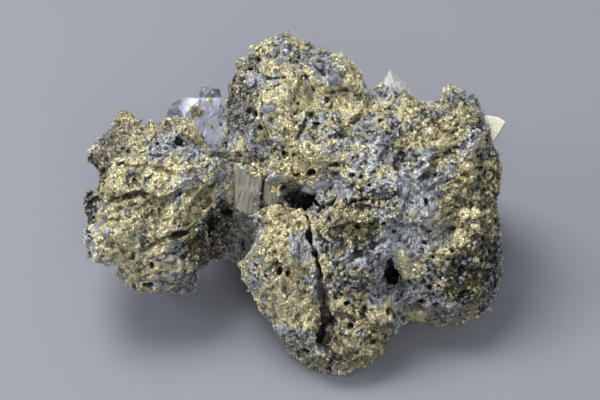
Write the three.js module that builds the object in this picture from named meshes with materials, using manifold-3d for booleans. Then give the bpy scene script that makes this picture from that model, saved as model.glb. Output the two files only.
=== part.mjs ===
// A hand-sized lump of massive chalcopyrite grown together with lead-grey galena, as it was broken from
// its vein. It rests on its rough underside with its best face leaning back towards the viewer.
//
// The sulphide mass is one solid. The crystals that can be told apart from it are solids of their own:
// a large galena crystal in the notch beside the left lobe, two striated siderite crystals in the cleft
// below it, a quartz point that shows over the back edge and a calcite plate on the right-hand side.
//
// Lumps, hollows and crystals are placed on the leaning face, as [right, up, out] in millimetres from
// the middle of that face: right along X, up along the face and out of it, towards the viewer.

import * as THREE from 'three';
import Module from 'manifold-3d';
import { ConvexGeometry } from 'three/addons/geometries/ConvexGeometry.js';
import { ImprovedNoise } from 'three/addons/math/ImprovedNoise.js';
import { mergeVertices } from 'three/addons/utils/BufferGeometryUtils.js';

// Driving dimensions, in millimetres and degrees.
const faceLean = 40; // the face's own normal stands this far above the horizon
const restHeight = 34; // the middle of the face above the surface that the lump rests on
const cell = 3.5; // spacing of the grid on which the mass's surface is found
const blendWidth = 3.2; // how far two lumps run into each other
const cleftBlend = 1; // how far a cleft's rim is rounded
const seatGap = 0.3; // clearance all round a crystal where it sits in the mass
const reach = { x: [-74, 74], y: [-64, 70], z: [-62, 56] }; // the box that holds the whole lump
const filled = -0.2 * cell; // how far inside a corner lies that is filled in to keep the skin whole
const groundSize = [400, 400, 40]; // the block that wears the underside flat

const brass = new THREE.MeshStandardMaterial({ color: 0x9a8f5e, roughness: 0.42, metalness: 0.85 });
const leadGrey = new THREE.MeshStandardMaterial({ color: 0x8d92a0, roughness: 0.38, metalness: 0.6 });
const tan = new THREE.MeshStandardMaterial({ color: 0x938a76, roughness: 0.6, metalness: 0 });
const milky = new THREE.MeshStandardMaterial({ color: 0xcfd0cf, roughness: 0.3, metalness: 0 });
const cream = new THREE.MeshStandardMaterial({ color: 0xdcd6c0, roughness: 0.65, metalness: 0 });

// The lumps that the mass has grown from: centre, half-sizes and turn within the face.
const lumps = [
  // core and back
  { at: [2, 2, -10], half: [38, 27, 24] },
  { at: [-2, 8, -34], half: [30, 22, 16] },
  { at: [26, 12, -38], half: [17, 17, 12], turn: 20 },
  { at: [36, -2, -32], half: [19, 25, 16] },
  { at: [2, -8, -26], half: [26, 17, 17] },
  { at: [-24, 16, -36], half: [9, 12, 9] },
  { at: [12, 24, -26], half: [12, 9, 12] },
  // left lobe
  { at: [-50, 12.5, 0], half: [10.5, 10.5, 13] },
  { at: [-51, 21.5, -3], half: [4, 3.4, 5] },
  { at: [-37, 14.5, 1], half: [14, 8.5, 13], turn: -10 },
  { at: [-26, 9, 9], half: [6.5, 6, 8] },
  { at: [-42.5, -17.5, -1], half: [12.5, 8.5, 12], turn: -24 },
  { at: [-60.8, 12.6, -3], half: [4.6, 3.2, 6] },
  { at: [-61.8, -1.4, -4], half: [5.4, 6.5, 8] },
  { at: [-34, -21, 0], half: [5, 4.6, 7] },
  { at: [-50, -22, 0], half: [7, 5, 8], turn: -30 },
  { at: [-33.5, -11, 3], half: [7, 9, 9] },
  // neck behind the cleft
  { at: [-24, 6, -16], half: [15, 17, 13] },
  { at: [-18, -10.5, -12], half: [12, 9, 11], turn: -30 },
  // upper lobe
  { at: [-3.4, 39.5, -8], half: [8.5, 10.5, 12] },
  { at: [-13, 28, -4], half: [9, 17, 14], turn: -24 },
  { at: [6, 34.2, -5], half: [15, 11, 14], turn: -33 },
  { at: [-7, 26, 8], half: [9, 14, 11], turn: 8 },
  { at: [-18, 19, 1], half: [8, 9, 11] },
  { at: [13, 34, -10], half: [6.5, 7.5, 9] },
  { at: [8, 18, 11], half: [13, 9, 11] },
  // right-hand mass
  { at: [48, 26.5, -8], half: [7, 8, 10] },
  { at: [29, 23.5, -8], half: [14, 8, 15] },
  { at: [53, -11, -10], half: [6, 19, 16] },
  { at: [22, 28, -8], half: [7, 4, 8] },
  { at: [45, -27, -12], half: [15, 12, 13] },
  { at: [29, 2, 9], half: [19, 18, 15], turn: 20 },
  { at: [46, 6, 2], half: [12, 22, 16] },
  { at: [34, -26, -4], half: [11, 11, 13] },
  // lower lobes, either side of the fissure
  { at: [-5, -18, 10], half: [10.5, 19, 13], turn: 18 },
  { at: [-11, -15, 4], half: [6.5, 8, 10] },
  { at: [0, -35, 7], half: [7, 12, 11], turn: 15 },
  { at: [17, -29, 10], half: [12, 17, 13], turn: -12 },
  { at: [11, -45.5, 6], half: [11, 7, 10], turn: 12 },
  { at: [23, -37, 2], half: [8, 7, 9] },
  { at: [15, -13, 16], half: [12, 12, 10] },
];

// Parts of the mass that broke along flatter faces, as rounded blocks.
const blocks = [
  { at: [-44, -3, 5], half: [16, 17, 14], turn: -14, tilt: 10, round: 5 },
  { at: [39, -2, -9], half: [19, 29, 24], turn: 3, tilt: -6, round: 9 },
  { at: [10, 8, -34], half: [26, 18, 17], turn: -12, nod: 24, round: 7 },
];

// Hollows in the mass, as rough as the rest of it.
const hollows = [
  { at: [-19, -11, 10], half: [10, 7, 12], turn: -38 }, // below the cleft
  { at: [-24.6, -24, 4], half: [5, 8.4, 18], turn: -20 }, // the gap between the left lobe and the lower lobe
  { at: [-15, 3.5, 14], half: [8.5, 8, 8] }, // the pocket around the siderite crystals
  { at: [15, 28, 11], half: [3.4, 8, 7], turn: -50 }, // the groove under the upper lobe
  { at: [-25, 21, 4], half: [5.6, 7, 12], turn: 20 }, // below the galena crystals
  { at: [9, 13, 25], half: [9, 3.4, 6], turn: 12 }, // the step above the vug
  { at: [33, 16, 18], half: [3.6, 9, 6], turn: -55 }, // the ledge across the right-hand mass
  { at: [33, -2, 24], half: [4, 6, 4], turn: 20 }, // the dip in the right-hand mass
  { at: [-18, 32, 8], half: [4, 7, 6], turn: -15 }, // the vuggy flank of the upper lobe
];

// Sharper holes and cracks, cut last.
const clefts = [
  { at: [0.6, -0.6, 18], half: [7, 4.2, 15], turn: 12, nod: 14 }, // the deep vug in the middle
  { at: [-7, 2, 14], half: [5, 2.4, 6], turn: -8 }, // its arm towards the cleft
  { at: [27.4, -21.5, 14], half: [3.9, 6.4, 16], turn: 12 }, // the hole in the right-hand mass
  { at: [-60.5, 7.6, 4], half: [6, 2, 14], turn: -14 }, // the notch in the left edge
  { at: [-35.5, 17, 13], half: [3, 2.4, 6] }, // the pit at the top of the left lobe
  { at: [-31, -13, 16], half: [8, 2.4, 6], turn: 28 }, // the crack across the left lobe
  { at: [6, -12, 24], half: [2.2, 8, 8], turn: -2 }, // the fissure between the two lower lobes
  { at: [7.4, -27, 21], half: [2.5, 10, 9], turn: -4 }, // its middle
  { at: [8.4, -37.5, 18], half: [3.4, 6.5, 9], turn: -4 }, // its mouth
  { at: [1.5, -44.5, 16], half: [3.8, 2.6, 6], turn: -20 }, // the cavity beside its foot
];

// The roughness of the break: waves, rounded cobbles and cells that each broke at a slant of their own.
const waves = [
  { size: 15, height: 1.6 },
  { size: 7.5, height: 1.1 },
];
const cobble = { size: 9, height: 2.6 };
const slants = { size: 12, slope: 0.36, step: 1.2 };

// Crystals that sit in the mass. Each is the space behind its flat faces: which way a face looks, on the
// crystal's own axes before it is turned, and how far it lies from the crystal's middle.
const galenaLarge = {
  at: [-33, 22.6, -8.5],
  tilt: 34,
  faces: [
    [[0, 0, 1], 6.6], [[0, 0, -1], 6.6], [[1, 0, 0], 8], [[-1, 0, 0], 6.4], [[0, -1, 0], 9],
    [[0.2, 1, 0.06], 7.6], [[-0.85, 1, 0.62], 8.8], [[-0.6, 1, -0.2], 7.7], [[-1, 0.35, -1], 7.4],
  ],
};
const galenaSmall = {
  at: [-27.4, 31.2, -12],
  tilt: 20,
  turn: -8,
  faces: [
    [[0, 0, 1], 2.6], [[0, 0, -1], 2.6], [[1, 0, 0], 2.6], [[-1, 0, 0], 2.6], [[0, 1, 0], 2.6], [[0, -1, 0], 6],
    [[1, 1, 1], 3], [[-1, 1, 1], 3], [[1, 1, -1], 3], [[-1, 1, -1], 3],
  ],
};
const quartzLarge = { at: [28, 34, -9.5], turn: 11, nod: 6, tilt: 10, radius: 5, prism: 10, point: 5.4 };
const quartzSmall = { at: [32.2, 31.4, -8.2], turn: -14, tilt: 24, radius: 1.8, prism: 7, point: 1.8 };

const sideriteLarge = {
  at: [-16.2, 3.3, 8.5],
  tilt: 6,
  faces: [
    [[0.05, 0.14, 1], 3.2], [[0, -0.2, 1], 3.3], [[-0.8, 0.1, 0.8], 4.3], [[0, 0, -1], 5],
    [[1, -0.15, 0], 4.1], [[0.66, 0.75, 0], 5.9], [[0.14, 1, 0], 6.8], [[-1, 0, 0.1], 3.5],
    [[-0.37, -0.93, 0], 6.6], [[-0.09, -1, 0], 7],
  ],
};
const sideriteSmall = {
  at: [-9, 2.4, 8.2],
  tilt: 4,
  faces: [
    [[0.3, 0.1, 1], 2.6], [[-0.5, 0, 1], 2.6], [[0, 0, -1], 4],
    [[0.85, 0.52, 0], 3.1], [[1, -0.07, 0], 2.6], [[0.65, -0.76, 0], 3.5],
    [[-0.75, -0.66, 0], 2.8], [[-1, 0.1, 0], 1.9], [[-0.24, 0.97, 0], 3.9],
  ],
};

// The plate, from the outline of its front face and the thickness behind it.
const plate = {
  at: [58.8, 21.6, -4.6],
  tilt: -22,
  nod: -14,
  depth: 1.4,
  outline: [[-8, 4.2], [-2.6, 3.8], [0.6, 3.2], [2.7, 2], [1.2, -1.3], [-0.6, -3.8], [-2.8, -2.8], [-8, -2.4]],
};

const wasm = await Module();
wasm.setup();
const noise = new ImprovedNoise();

// From the leaning face to the part's own frame.
const lean = THREE.MathUtils.degToRad(faceLean);
const faceRight = new THREE.Vector3(1, 0, 0);
const faceUp = new THREE.Vector3(0, Math.sin(lean), Math.cos(lean));
const faceOut = new THREE.Vector3(0, -Math.cos(lean), Math.sin(lean));
const toPart = new THREE.Matrix4().makeBasis(faceRight, faceUp, faceOut);
const toFace = toPart.clone().invert();

// How one form is turned: within the face, about the face's up direction, then nodding towards the viewer.
function turning({ turn = 0, tilt = 0, nod = 0 }) {
  const [x, y, z] = [nod, tilt, turn].map(THREE.MathUtils.degToRad);
  return new THREE.Quaternion().setFromEuler(new THREE.Euler(x, y, z, 'ZYX'));
}

function prepared(form) {
  return { ...form, centre: new THREE.Vector3(...form.at), back: turning(form).invert() };
}

const local = new THREE.Vector3();

// Distance from p to an ellipsoid's surface, close to the true one near the surface.
function toEllipsoid(p, { centre, back, half }) {
  local.copy(p).sub(centre).applyQuaternion(back);
  const a = Math.hypot(local.x / half[0], local.y / half[1], local.z / half[2]);
  const b = Math.hypot(local.x / half[0] ** 2, local.y / half[1] ** 2, local.z / half[2] ** 2);
  return b < 1e-9 ? -Math.min(...half) : (a * (a - 1)) / b;
}

function toBlock(p, { centre, back, half, round }) {
  local.copy(p).sub(centre).applyQuaternion(back);
  const q = [local.x, local.y, local.z].map((v, i) => Math.abs(v) - half[i] + round);
  const outside = Math.hypot(...q.map((v) => Math.max(v, 0)));
  return outside + Math.min(Math.max(...q), 0) - round;
}

function smoothMin(a, b, width) {
  const h = Math.max(width - Math.abs(a - b), 0) / width;
  return Math.min(a, b) - (h * h * width) / 4;
}

// A repeatable number from 0 to 1 for a grid cell.
function hash(x, y, z, salt) {
  const s = Math.sin(x * 127.1 + y * 311.7 + z * 74.7 + salt * 53.3) * 43758.5453;
  return s - Math.floor(s);
}

// The seeds of the cells around p, each one displaced within its own place on a grid of the given size.
function nearestSeed(p, size) {
  const q = [p.x / size, p.y / size, p.z / size];
  const base = q.map(Math.floor);
  let best = { away: Infinity };
  for (let i = -1; i <= 1; i++)
    for (let j = -1; j <= 1; j++)
      for (let k = -1; k <= 1; k++) {
        const c = [base[0] + i, base[1] + j, base[2] + k];
        const from = q.map((v, axis) => v - c[axis] - 0.15 - 0.7 * hash(...c, axis));
        const away = Math.hypot(...from);
        if (away < best.away) best = { away, from, cell: c };
      }
  return best;
}

// How far a cell's slanting break lies above or below the surface at p.
function slanted(p, { size, slope, step }) {
  const { from, cell: c } = nearestSeed(p, size);
  const lean = from.reduce((sum, v, axis) => sum + v * (2 * hash(...c, axis + 5) - 1), 0);
  return slope * size * lean + step * (2 * hash(...c, 9) - 1);
}

const lumpForms = lumps.map(prepared);
const blockForms = blocks.map(prepared);
const hollowForms = hollows.map(prepared);
const cleftForms = clefts.map(prepared);
const onFace = new THREE.Vector3();

// Below 0 inside the mass, above 0 outside it. p is in the part's frame, from the middle of the face.
function massField(p) {
  onFace.copy(p).applyMatrix4(toFace);
  let d = Infinity;
  for (const form of lumpForms) d = smoothMin(d, toEllipsoid(onFace, form), blendWidth);
  for (const form of blockForms) d = smoothMin(d, toBlock(onFace, form), blendWidth);
  for (const form of hollowForms) d = -smoothMin(-d, toEllipsoid(onFace, form), blendWidth);
  if (d > 3 * cell || d < -5 * cell) return d;
  for (const { size, height } of waves) d += height * noise.noise(p.x / size, p.y / size, p.z / size);
  d -= cobble.height * (0.5 - Math.min(nearestSeed(p, cobble.size).away, 1));
  d += slanted(p, slants);
  for (const form of cleftForms) d = -smoothMin(-d, toEllipsoid(onFace, form), cleftBlend);
  return d;
}

// The field's value at every corner of a grid over the reach.
function sampled() {
  const axes = [reach.x, reach.y, reach.z];
  const count = axes.map(([low, high]) => Math.round((high - low) / cell) + 1);
  const values = new Float64Array(count[0] * count[1] * count[2]);
  const place = (i, j, k) => new THREE.Vector3(reach.x[0] + i * cell, reach.y[0] + j * cell, reach.z[0] + k * cell);
  const index = (i, j, k) => (k * count[1] + j) * count[0] + i;
  for (let k = 0; k < count[2]; k++)
    for (let j = 0; j < count[1]; j++)
      for (let i = 0; i < count[0]; i++) values[index(i, j, k)] = massField(place(i, j, k));
  return { count, values, place, index };
}

const cornerSteps = [0, 1].flatMap((k) => [0, 1].flatMap((j) => [0, 1].map((i) => [i, j, k])));

// Fills in a corner wherever two sheets of the surface would meet in one cell, so that it stays one skin.
function untangle({ count, values, index }) {
  const inside = (n) => values[n] < 0;
  let changed;
  const fill = (n) => {
    values[n] = filled;
    changed = true;
  };
  // Two opposite corners of a square inside and the other two outside.
  const untangleSquare = ([near, far], [left, right]) => {
    if (inside(near) !== inside(far) || inside(left) !== inside(right) || inside(near) === inside(left)) return;
    fill(inside(near) ? left : near);
  };
  // Two opposite corners of a cube on one side of the surface and the other six on the other.
  const untangleCube = (corners, pair) => {
    const others = corners.filter((c) => !pair.includes(c));
    const alone = (side) => pair.every((c) => inside(c) === side) && others.every((c) => inside(c) !== side);
    if (alone(true)) fill(others[0]);
    if (alone(false)) fill(pair[0]);
  };
  do {
    changed = false;
    for (let k = 0; k + 1 < count[2]; k++)
      for (let j = 0; j + 1 < count[1]; j++)
        for (let i = 0; i + 1 < count[0]; i++) {
          const corners = cornerSteps.map(([x, y, z]) => index(i + x, j + y, k + z));
          const at = (x, y, z) => corners[x + 2 * y + 4 * z];
          untangleSquare([at(0, 0, 0), at(1, 1, 0)], [at(1, 0, 0), at(0, 1, 0)]);
          untangleSquare([at(0, 0, 0), at(1, 0, 1)], [at(1, 0, 0), at(0, 0, 1)]);
          untangleSquare([at(0, 0, 0), at(0, 1, 1)], [at(0, 1, 0), at(0, 0, 1)]);
          for (let n = 0; n < 4; n++) untangleCube(corners, [corners[n], corners[7 - n]]);
        }
  } while (changed);
}

// The point in a cell where the surface runs: the mean of where it cuts the cell's edges.
function middleOfCuts({ values, place, index }, cellAt) {
  const sum = new THREE.Vector3();
  let cuts = 0;
  for (const step of cornerSteps)
    for (let axis = 0; axis < 3; axis++) {
      if (step[axis]) continue;
      const start = cellAt.map((v, n) => v + step[n]);
      const end = start.map((v, n) => v + (n === axis));
      const [a, b] = [values[index(...start)], values[index(...end)]];
      if (a < 0 === b < 0) continue;
      sum.add(place(...start).lerp(place(...end), a / (a - b)));
      cuts++;
    }
  return cuts ? sum.divideScalar(cuts) : null;
}

// One vertex in each cell that the surface passes through, one square across each edge that it cuts.
function skinOf(grid) {
  const { count, values, index } = grid;
  const vertexOf = new Map();
  const vertices = [];
  for (let k = 0; k + 1 < count[2]; k++)
    for (let j = 0; j + 1 < count[1]; j++)
      for (let i = 0; i + 1 < count[0]; i++) {
        const vertex = middleOfCuts(grid, [i, j, k]);
        if (!vertex) continue;
        vertexOf.set(index(i, j, k), vertices.length);
        vertices.push(vertex);
      }
  const triangles = [];
  for (let axis = 0; axis < 3; axis++) {
    const [u, v] = [(axis + 1) % 3, (axis + 2) % 3];
    for (let k = 1; k + 1 < count[2]; k++)
      for (let j = 1; j + 1 < count[1]; j++)
        for (let i = 1; i + 1 < count[0]; i++) {
          const start = [i, j, k];
          const end = start.map((w, n) => w + (n === axis));
          const [startsInside, endsInside] = [values[index(...start)] < 0, values[index(...end)] < 0];
          if (startsInside === endsInside) continue;
          const around = [[0, 0], [-1, 0], [-1, -1], [0, -1]].map(([stepU, stepV]) => {
            const cellAt = [...start];
            cellAt[u] += stepU;
            cellAt[v] += stepV;
            return vertexOf.get(index(...cellAt));
          });
          if (endsInside) around.reverse();
          const [a, b, c, d] = around;
          const [acrossAC, acrossBD] = [vertices[a].distanceTo(vertices[c]), vertices[b].distanceTo(vertices[d])];
          triangles.push(...(acrossAC < acrossBD ? [a, b, c, a, c, d] : [a, b, d, b, c, d]));
        }
  }
  return new THREE.BufferGeometry().setFromPoints(vertices).setIndex(triangles);
}

// A three.js geometry as a solid that can be joined and cut.
function solidOf(geometry) {
  const bare = new THREE.BufferGeometry().setAttribute('position', geometry.getAttribute('position'));
  if (geometry.index) bare.setIndex(geometry.index);
  const merged = mergeVertices(bare, 1e-4);
  return new wasm.Manifold(
    new wasm.Mesh({
      numProp: 3,
      vertProperties: new Float32Array(merged.attributes.position.array),
      triVerts: new Uint32Array(merged.index.array),
    }),
  );
}

function geometryFrom(solid) {
  const mesh = solid.getMesh();
  const positions = new Float32Array(mesh.numVert * 3);
  for (let i = 0; i < mesh.numVert; i++)
    positions.set(mesh.vertProperties.subarray(i * mesh.numProp, i * mesh.numProp + 3), i * 3);
  return new THREE.BufferGeometry()
    .setAttribute('position', new THREE.BufferAttribute(positions, 3))
    .setIndex(new THREE.BufferAttribute(mesh.triVerts, 1));
}

// The mass before its crystals' seats are cut, with its lowest knobs worn flat where it rests.
function massSolid() {
  const grid = sampled();
  untangle(grid);
  const ground = new THREE.BoxGeometry(...groundSize).translate(0, 0, -restHeight - groundSize[2] / 2);
  return largest(solidOf(skinOf(grid))).subtract(solidOf(ground));
}

function largest(solid) {
  return solid.decompose().sort((a, b) => b.volume() - a.volume())[0];
}

// The solid behind a set of flat faces, from the points where three of them meet.
function behindFaces(faces) {
  const planes = faces.map(([facing, away]) => new THREE.Plane(new THREE.Vector3(...facing).normalize(), -away));
  const points = [];
  for (let i = 0; i < planes.length; i++)
    for (let j = i + 1; j < planes.length; j++)
      for (let k = j + 1; k < planes.length; k++) {
        const [a, b, c] = [planes[i], planes[j], planes[k]];
        const across = b.normal.clone().cross(c.normal);
        const volume = a.normal.dot(across);
        if (Math.abs(volume) < 1e-6) continue;
        const point = across.multiplyScalar(-a.constant);
        point.addScaledVector(c.normal.clone().cross(a.normal), -b.constant);
        point.addScaledVector(a.normal.clone().cross(b.normal), -c.constant).divideScalar(volume);
        if (planes.every((plane) => plane.distanceToPoint(point) < 1e-4)) points.push(point);
      }
  return new ConvexGeometry(points);
}

// A six-sided prism with a six-sided point, around the middle of the prism's upper end.
function pointedPrism({ radius, prism, point }) {
  const profile = [[0, -prism], [radius, -prism], [radius, 0], [0, point]];
  return new THREE.LatheGeometry(profile.map(([r, h]) => new THREE.Vector2(r, h)), 6);
}

function slab({ outline, depth }) {
  const shape = new THREE.Shape(outline.map(([x, y]) => new THREE.Vector2(x, y)));
  return new THREE.ExtrudeGeometry(shape, { depth, bevelEnabled: false }).translate(0, 0, -depth);
}

// The geometry where the crystal sits, and the same grown by the seat's clearance for cutting the mass.
function seated(geometry, form) {
  const place = new THREE.Matrix4().compose(new THREE.Vector3(...form.at), turning(form), new THREE.Vector3(1, 1, 1));
  place.premultiply(toPart);
  geometry.computeBoundingBox();
  const middle = geometry.boundingBox.getCenter(new THREE.Vector3());
  const size = geometry.boundingBox.getSize(new THREE.Vector3());
  const grown = geometry.clone().translate(...middle.clone().negate().toArray());
  grown.scale(...size.toArray().map((v) => (v + 2 * seatGap) / v)).translate(...middle.toArray());
  return { solid: solidOf(geometry.clone().applyMatrix4(place)), seat: solidOf(grown.applyMatrix4(place)) };
}

function joined(a, b) {
  return { solid: a.solid.add(b.solid), seat: a.seat.add(b.seat) };
}

const crystals = [
  {
    name: 'galena_crystals',
    material: leadGrey,
    ...joined(...[galenaLarge, galenaSmall].map((form) => seated(behindFaces(form.faces), form))),
  },
  { name: 'siderite_large', material: tan, ...seated(behindFaces(sideriteLarge.faces), sideriteLarge) },
  { name: 'siderite_small', material: tan, ...seated(behindFaces(sideriteSmall.faces), sideriteSmall) },
  {
    name: 'quartz_points',
    material: milky,
    ...joined(...[quartzLarge, quartzSmall].map((form) => seated(pointedPrism(form), form))),
  },
  { name: 'calcite_plate', material: cream, ...seated(slab(plate), plate) },
];

const mass = largest(crystals.reduce((left, { seat }) => left.subtract(seat), massSolid()));

const group = new THREE.Group();
for (const { name, material, solid } of [{ name: 'sulphide_mass', material: brass, solid: mass }, ...crystals]) {
  const mesh = new THREE.Mesh(geometryFrom(solid), material);
  mesh.name = name;
  group.add(mesh);
}

// The origin is under the middle of the lump, where it rests.
const box = new THREE.Box3().setFromObject(group);
const middle = box.getCenter(new THREE.Vector3());
group.position.set(-middle.x, -middle.y, -box.min.z);

export default group;
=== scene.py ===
import math

import bmesh
import bpy
import numpy as np
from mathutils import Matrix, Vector
from mathutils.bvhtree import BVHTree


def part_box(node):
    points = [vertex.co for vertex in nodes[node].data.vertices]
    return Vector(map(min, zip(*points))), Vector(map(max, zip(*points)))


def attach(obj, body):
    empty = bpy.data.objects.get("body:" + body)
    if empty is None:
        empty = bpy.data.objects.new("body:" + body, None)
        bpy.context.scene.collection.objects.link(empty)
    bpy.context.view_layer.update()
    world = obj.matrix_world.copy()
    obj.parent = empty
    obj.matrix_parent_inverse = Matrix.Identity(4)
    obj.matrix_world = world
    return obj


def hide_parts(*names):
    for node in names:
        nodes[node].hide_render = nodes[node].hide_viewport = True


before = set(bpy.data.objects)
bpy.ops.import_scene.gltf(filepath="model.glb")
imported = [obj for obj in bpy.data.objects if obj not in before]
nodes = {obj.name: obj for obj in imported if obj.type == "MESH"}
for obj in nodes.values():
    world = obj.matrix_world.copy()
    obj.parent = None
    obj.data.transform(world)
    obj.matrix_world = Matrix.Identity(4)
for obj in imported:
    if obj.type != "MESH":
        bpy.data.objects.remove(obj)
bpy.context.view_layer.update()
mm = 0.001
print("frame loaded:", ", ".join(sorted(nodes)))

# how the specimen is looked at; places on it are named by where they show in a frame of this size
view = {
    "target": (1.54, -5.93, 34.0),  # mm, where the lens points
    "elevation": 40.0,  # degrees above the table
    "distance": 1000.0,  # mm from the target to the lens
    "pixel": 0.3,  # mm that one pixel covers at the target
    "frame": (600, 400),  # pixels
    "sensor": 36,  # mm
}
lift = math.radians(view["elevation"])
sideways = np.array([1.0, 0.0, 0.0])
upward = np.array([0.0, math.sin(lift), math.cos(lift)])
towards = np.array([0.0, -math.cos(lift), math.sin(lift)])
target = np.array(view["target"])
lens = target + towards * view["distance"]
middleX, middleY = (side / 2 for side in view["frame"])
tabletop = 0.05  # mm, the lowest that the lump's skin may reach


def unit(vector):
    return vector / np.linalg.norm(vector)


def reachAlong(points, axis):
    # how far each point lies along an axis
    return points @ axis.astype(np.float32)


def inView(points):
    # where each point shows in the frame, in pixels
    away = points - target.astype(np.float32)
    near = 1 - reachAlong(away, towards) / view["distance"]
    x = middleX + reachAlong(away, sideways) / near / view["pixel"]
    y = middleY - reachAlong(away, upward) / near / view["pixel"]
    return x, y


def onFace(away, turn, half):
    # offsets in the plane of view, as shares of the half width and height of a turned oval
    turn = math.radians(turn)
    right, rise = reachAlong(away, sideways), reachAlong(away, upward)
    width, height = (side * view["pixel"] for side in half)
    along = (right * math.cos(turn) + rise * math.sin(turn)) / width
    across = (rise * math.cos(turn) - right * math.sin(turn)) / height
    return along, across


def turnedAxis(turn):
    # the direction in the plane of view that is turned by that many degrees from sideways
    turn = math.radians(turn)
    return sideways * math.cos(turn) + upward * math.sin(turn)


def readMesh(rows, name, width, kind=np.float32):
    # one value of a mesh's points, edges or faces, a row for each
    values = np.zeros(len(rows) * width, kind)
    rows.foreach_get(name, values)
    return values.reshape(-1, width)


def nodeArrays(name):
    mesh = nodes[name].data
    mesh.calc_loop_triangles()
    corners = readMesh(mesh.loop_triangles, "vertices", 3, np.int32)
    return readMesh(mesh.vertices, "co", 3, float) / mm, corners


trees = {}


def treeOf(name):
    if name not in trees:
        points, corners = nodeArrays(name)
        trees[name] = BVHTree.FromPolygons(points.tolist(), corners.tolist())
    return trees[name]


def sightLine(x, y):
    across = (x - middleX) * view["pixel"]
    rise = (middleY - y) * view["pixel"]
    return Vector(sideways * across + upward * rise - towards * view["distance"]).normalized()


def placeAt(x, y, carrier="sulphide_mass"):
    # the point and outward normal of the surface that shows at that place in the frame
    point, normal, _, _ = treeOf(carrier).ray_cast(Vector(lens), sightLine(x, y))
    if point is None:
        # just outside the outline: the nearest skin to the line of sight
        middle = Vector(lens) + sightLine(x, y) * view["distance"]
        point, normal, _, _ = treeOf(carrier).find_nearest(middle)
    return np.array(point), np.array(normal)


# noise from seeded tables that repeat after a number of cells
repeat = 64
tables = {}
lean = np.array([[0.84, 0.37, -0.40], [-0.20, 0.89, 0.41], [0.51, -0.26, 0.82]])
cellCorners = [(i, j, k) for i in (0, 1) for j in (0, 1) for k in (0, 1)]


def tableOf(seed, *width):
    key = (seed, *width)
    if key not in tables:
        tables[key] = np.random.default_rng(seed).random((repeat, repeat, repeat, *width)).astype(np.float32)
    return tables[key]


def look(table, x, y, z):
    last = repeat - 1
    return table[x & last, y & last, z & last]


def split(points, size, seed):
    # the cell that each point is in, and where in it
    turned = points @ lean.T.astype(np.float32) / np.float32(size) + np.float32(seed * 0.37)
    cell = np.floor(turned).astype(np.int32)
    return cell, (turned - cell).astype(np.float32)


def cornerShares(part):
    # each corner of a cell with its share of the points inside
    for i in (0, 1):
        shareX = part[:, 0] if i else 1 - part[:, 0]
        for j in (0, 1):
            shareY = part[:, 1] if j else 1 - part[:, 1]
            for k in (0, 1):
                shareZ = part[:, 2] if k else 1 - part[:, 2]
                yield i, j, k, shareX * shareY * shareZ


def softNoise(points, size, seed):
    # smooth swells between -1 and 1
    cell, part = split(points, size, seed)
    part = part * part * (3 - 2 * part)
    table = tableOf(seed)
    total = np.zeros(len(points), np.float32)
    for i, j, k, share in cornerShares(part):
        total += share * look(table, cell[:, 0] + i, cell[:, 1] + j, cell[:, 2] + k)
    return total * 2 - 1


def foldNoise(points, size, seed):
    # flat folded facets that meet in creases, as in crumpled foil, between -1 and 1
    cell, part = split(points, size, seed)
    table = tableOf(seed)
    order = np.argsort(-part, axis=1)
    steps = np.eye(3, dtype=np.int32)
    rows = np.arange(len(points))
    value = look(table, *cell.T)
    total = value.copy()
    for turn in range(3):
        axis = order[:, turn]
        cell = cell + steps[axis]
        following = look(table, *cell.T)
        total += (following - value) * part[rows, axis]
        value = following
    return total * 2 - 1


def chipNoise(points, size, seed):
    # the nearest chip to each point: how near its edge is in mm, a random number for it, the height of its
    # tilted flat, and how far its middle is
    table = tableOf(seed, 7)
    cell, part = split(points, size, seed)
    first, second = (np.full(len(points), 9, np.float32) for _ in range(2))
    mark, tilt = (np.zeros(len(points), np.float32) for _ in range(2))
    start = np.where(part > 0.5, 0, -1).astype(np.int32)
    for corner in cellCorners:
        off = start + np.array(corner, np.int32)
        random = look(table, *(cell + off).T)
        away = part - off - (0.12 + 0.76 * random[:, :3])
        gap = np.sqrt(np.einsum("ij,ij->i", away, away))
        near = gap < first
        second = np.where(near, first, np.minimum(second, gap))
        mark = np.where(near, random[:, 6], mark)
        tilt = np.where(near, np.einsum("ij,ij->i", away, random[:, 3:6] - 0.5), tilt)
        first = np.where(near, gap, first)
    return (second - first) * size, mark, tilt * size, first * size


def layered(noise, points, layers, seed, middle=0):
    # one kind of noise at several sizes, each with its own strength, around a middle value
    return sum((height * noise(points, size, seed + n) for n, (size, height) in enumerate(layers)), middle)


def ease(value, low, high):
    part = np.clip((value - low) / (high - low), 0, 1)
    return part * part * (3 - 2 * part)


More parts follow.
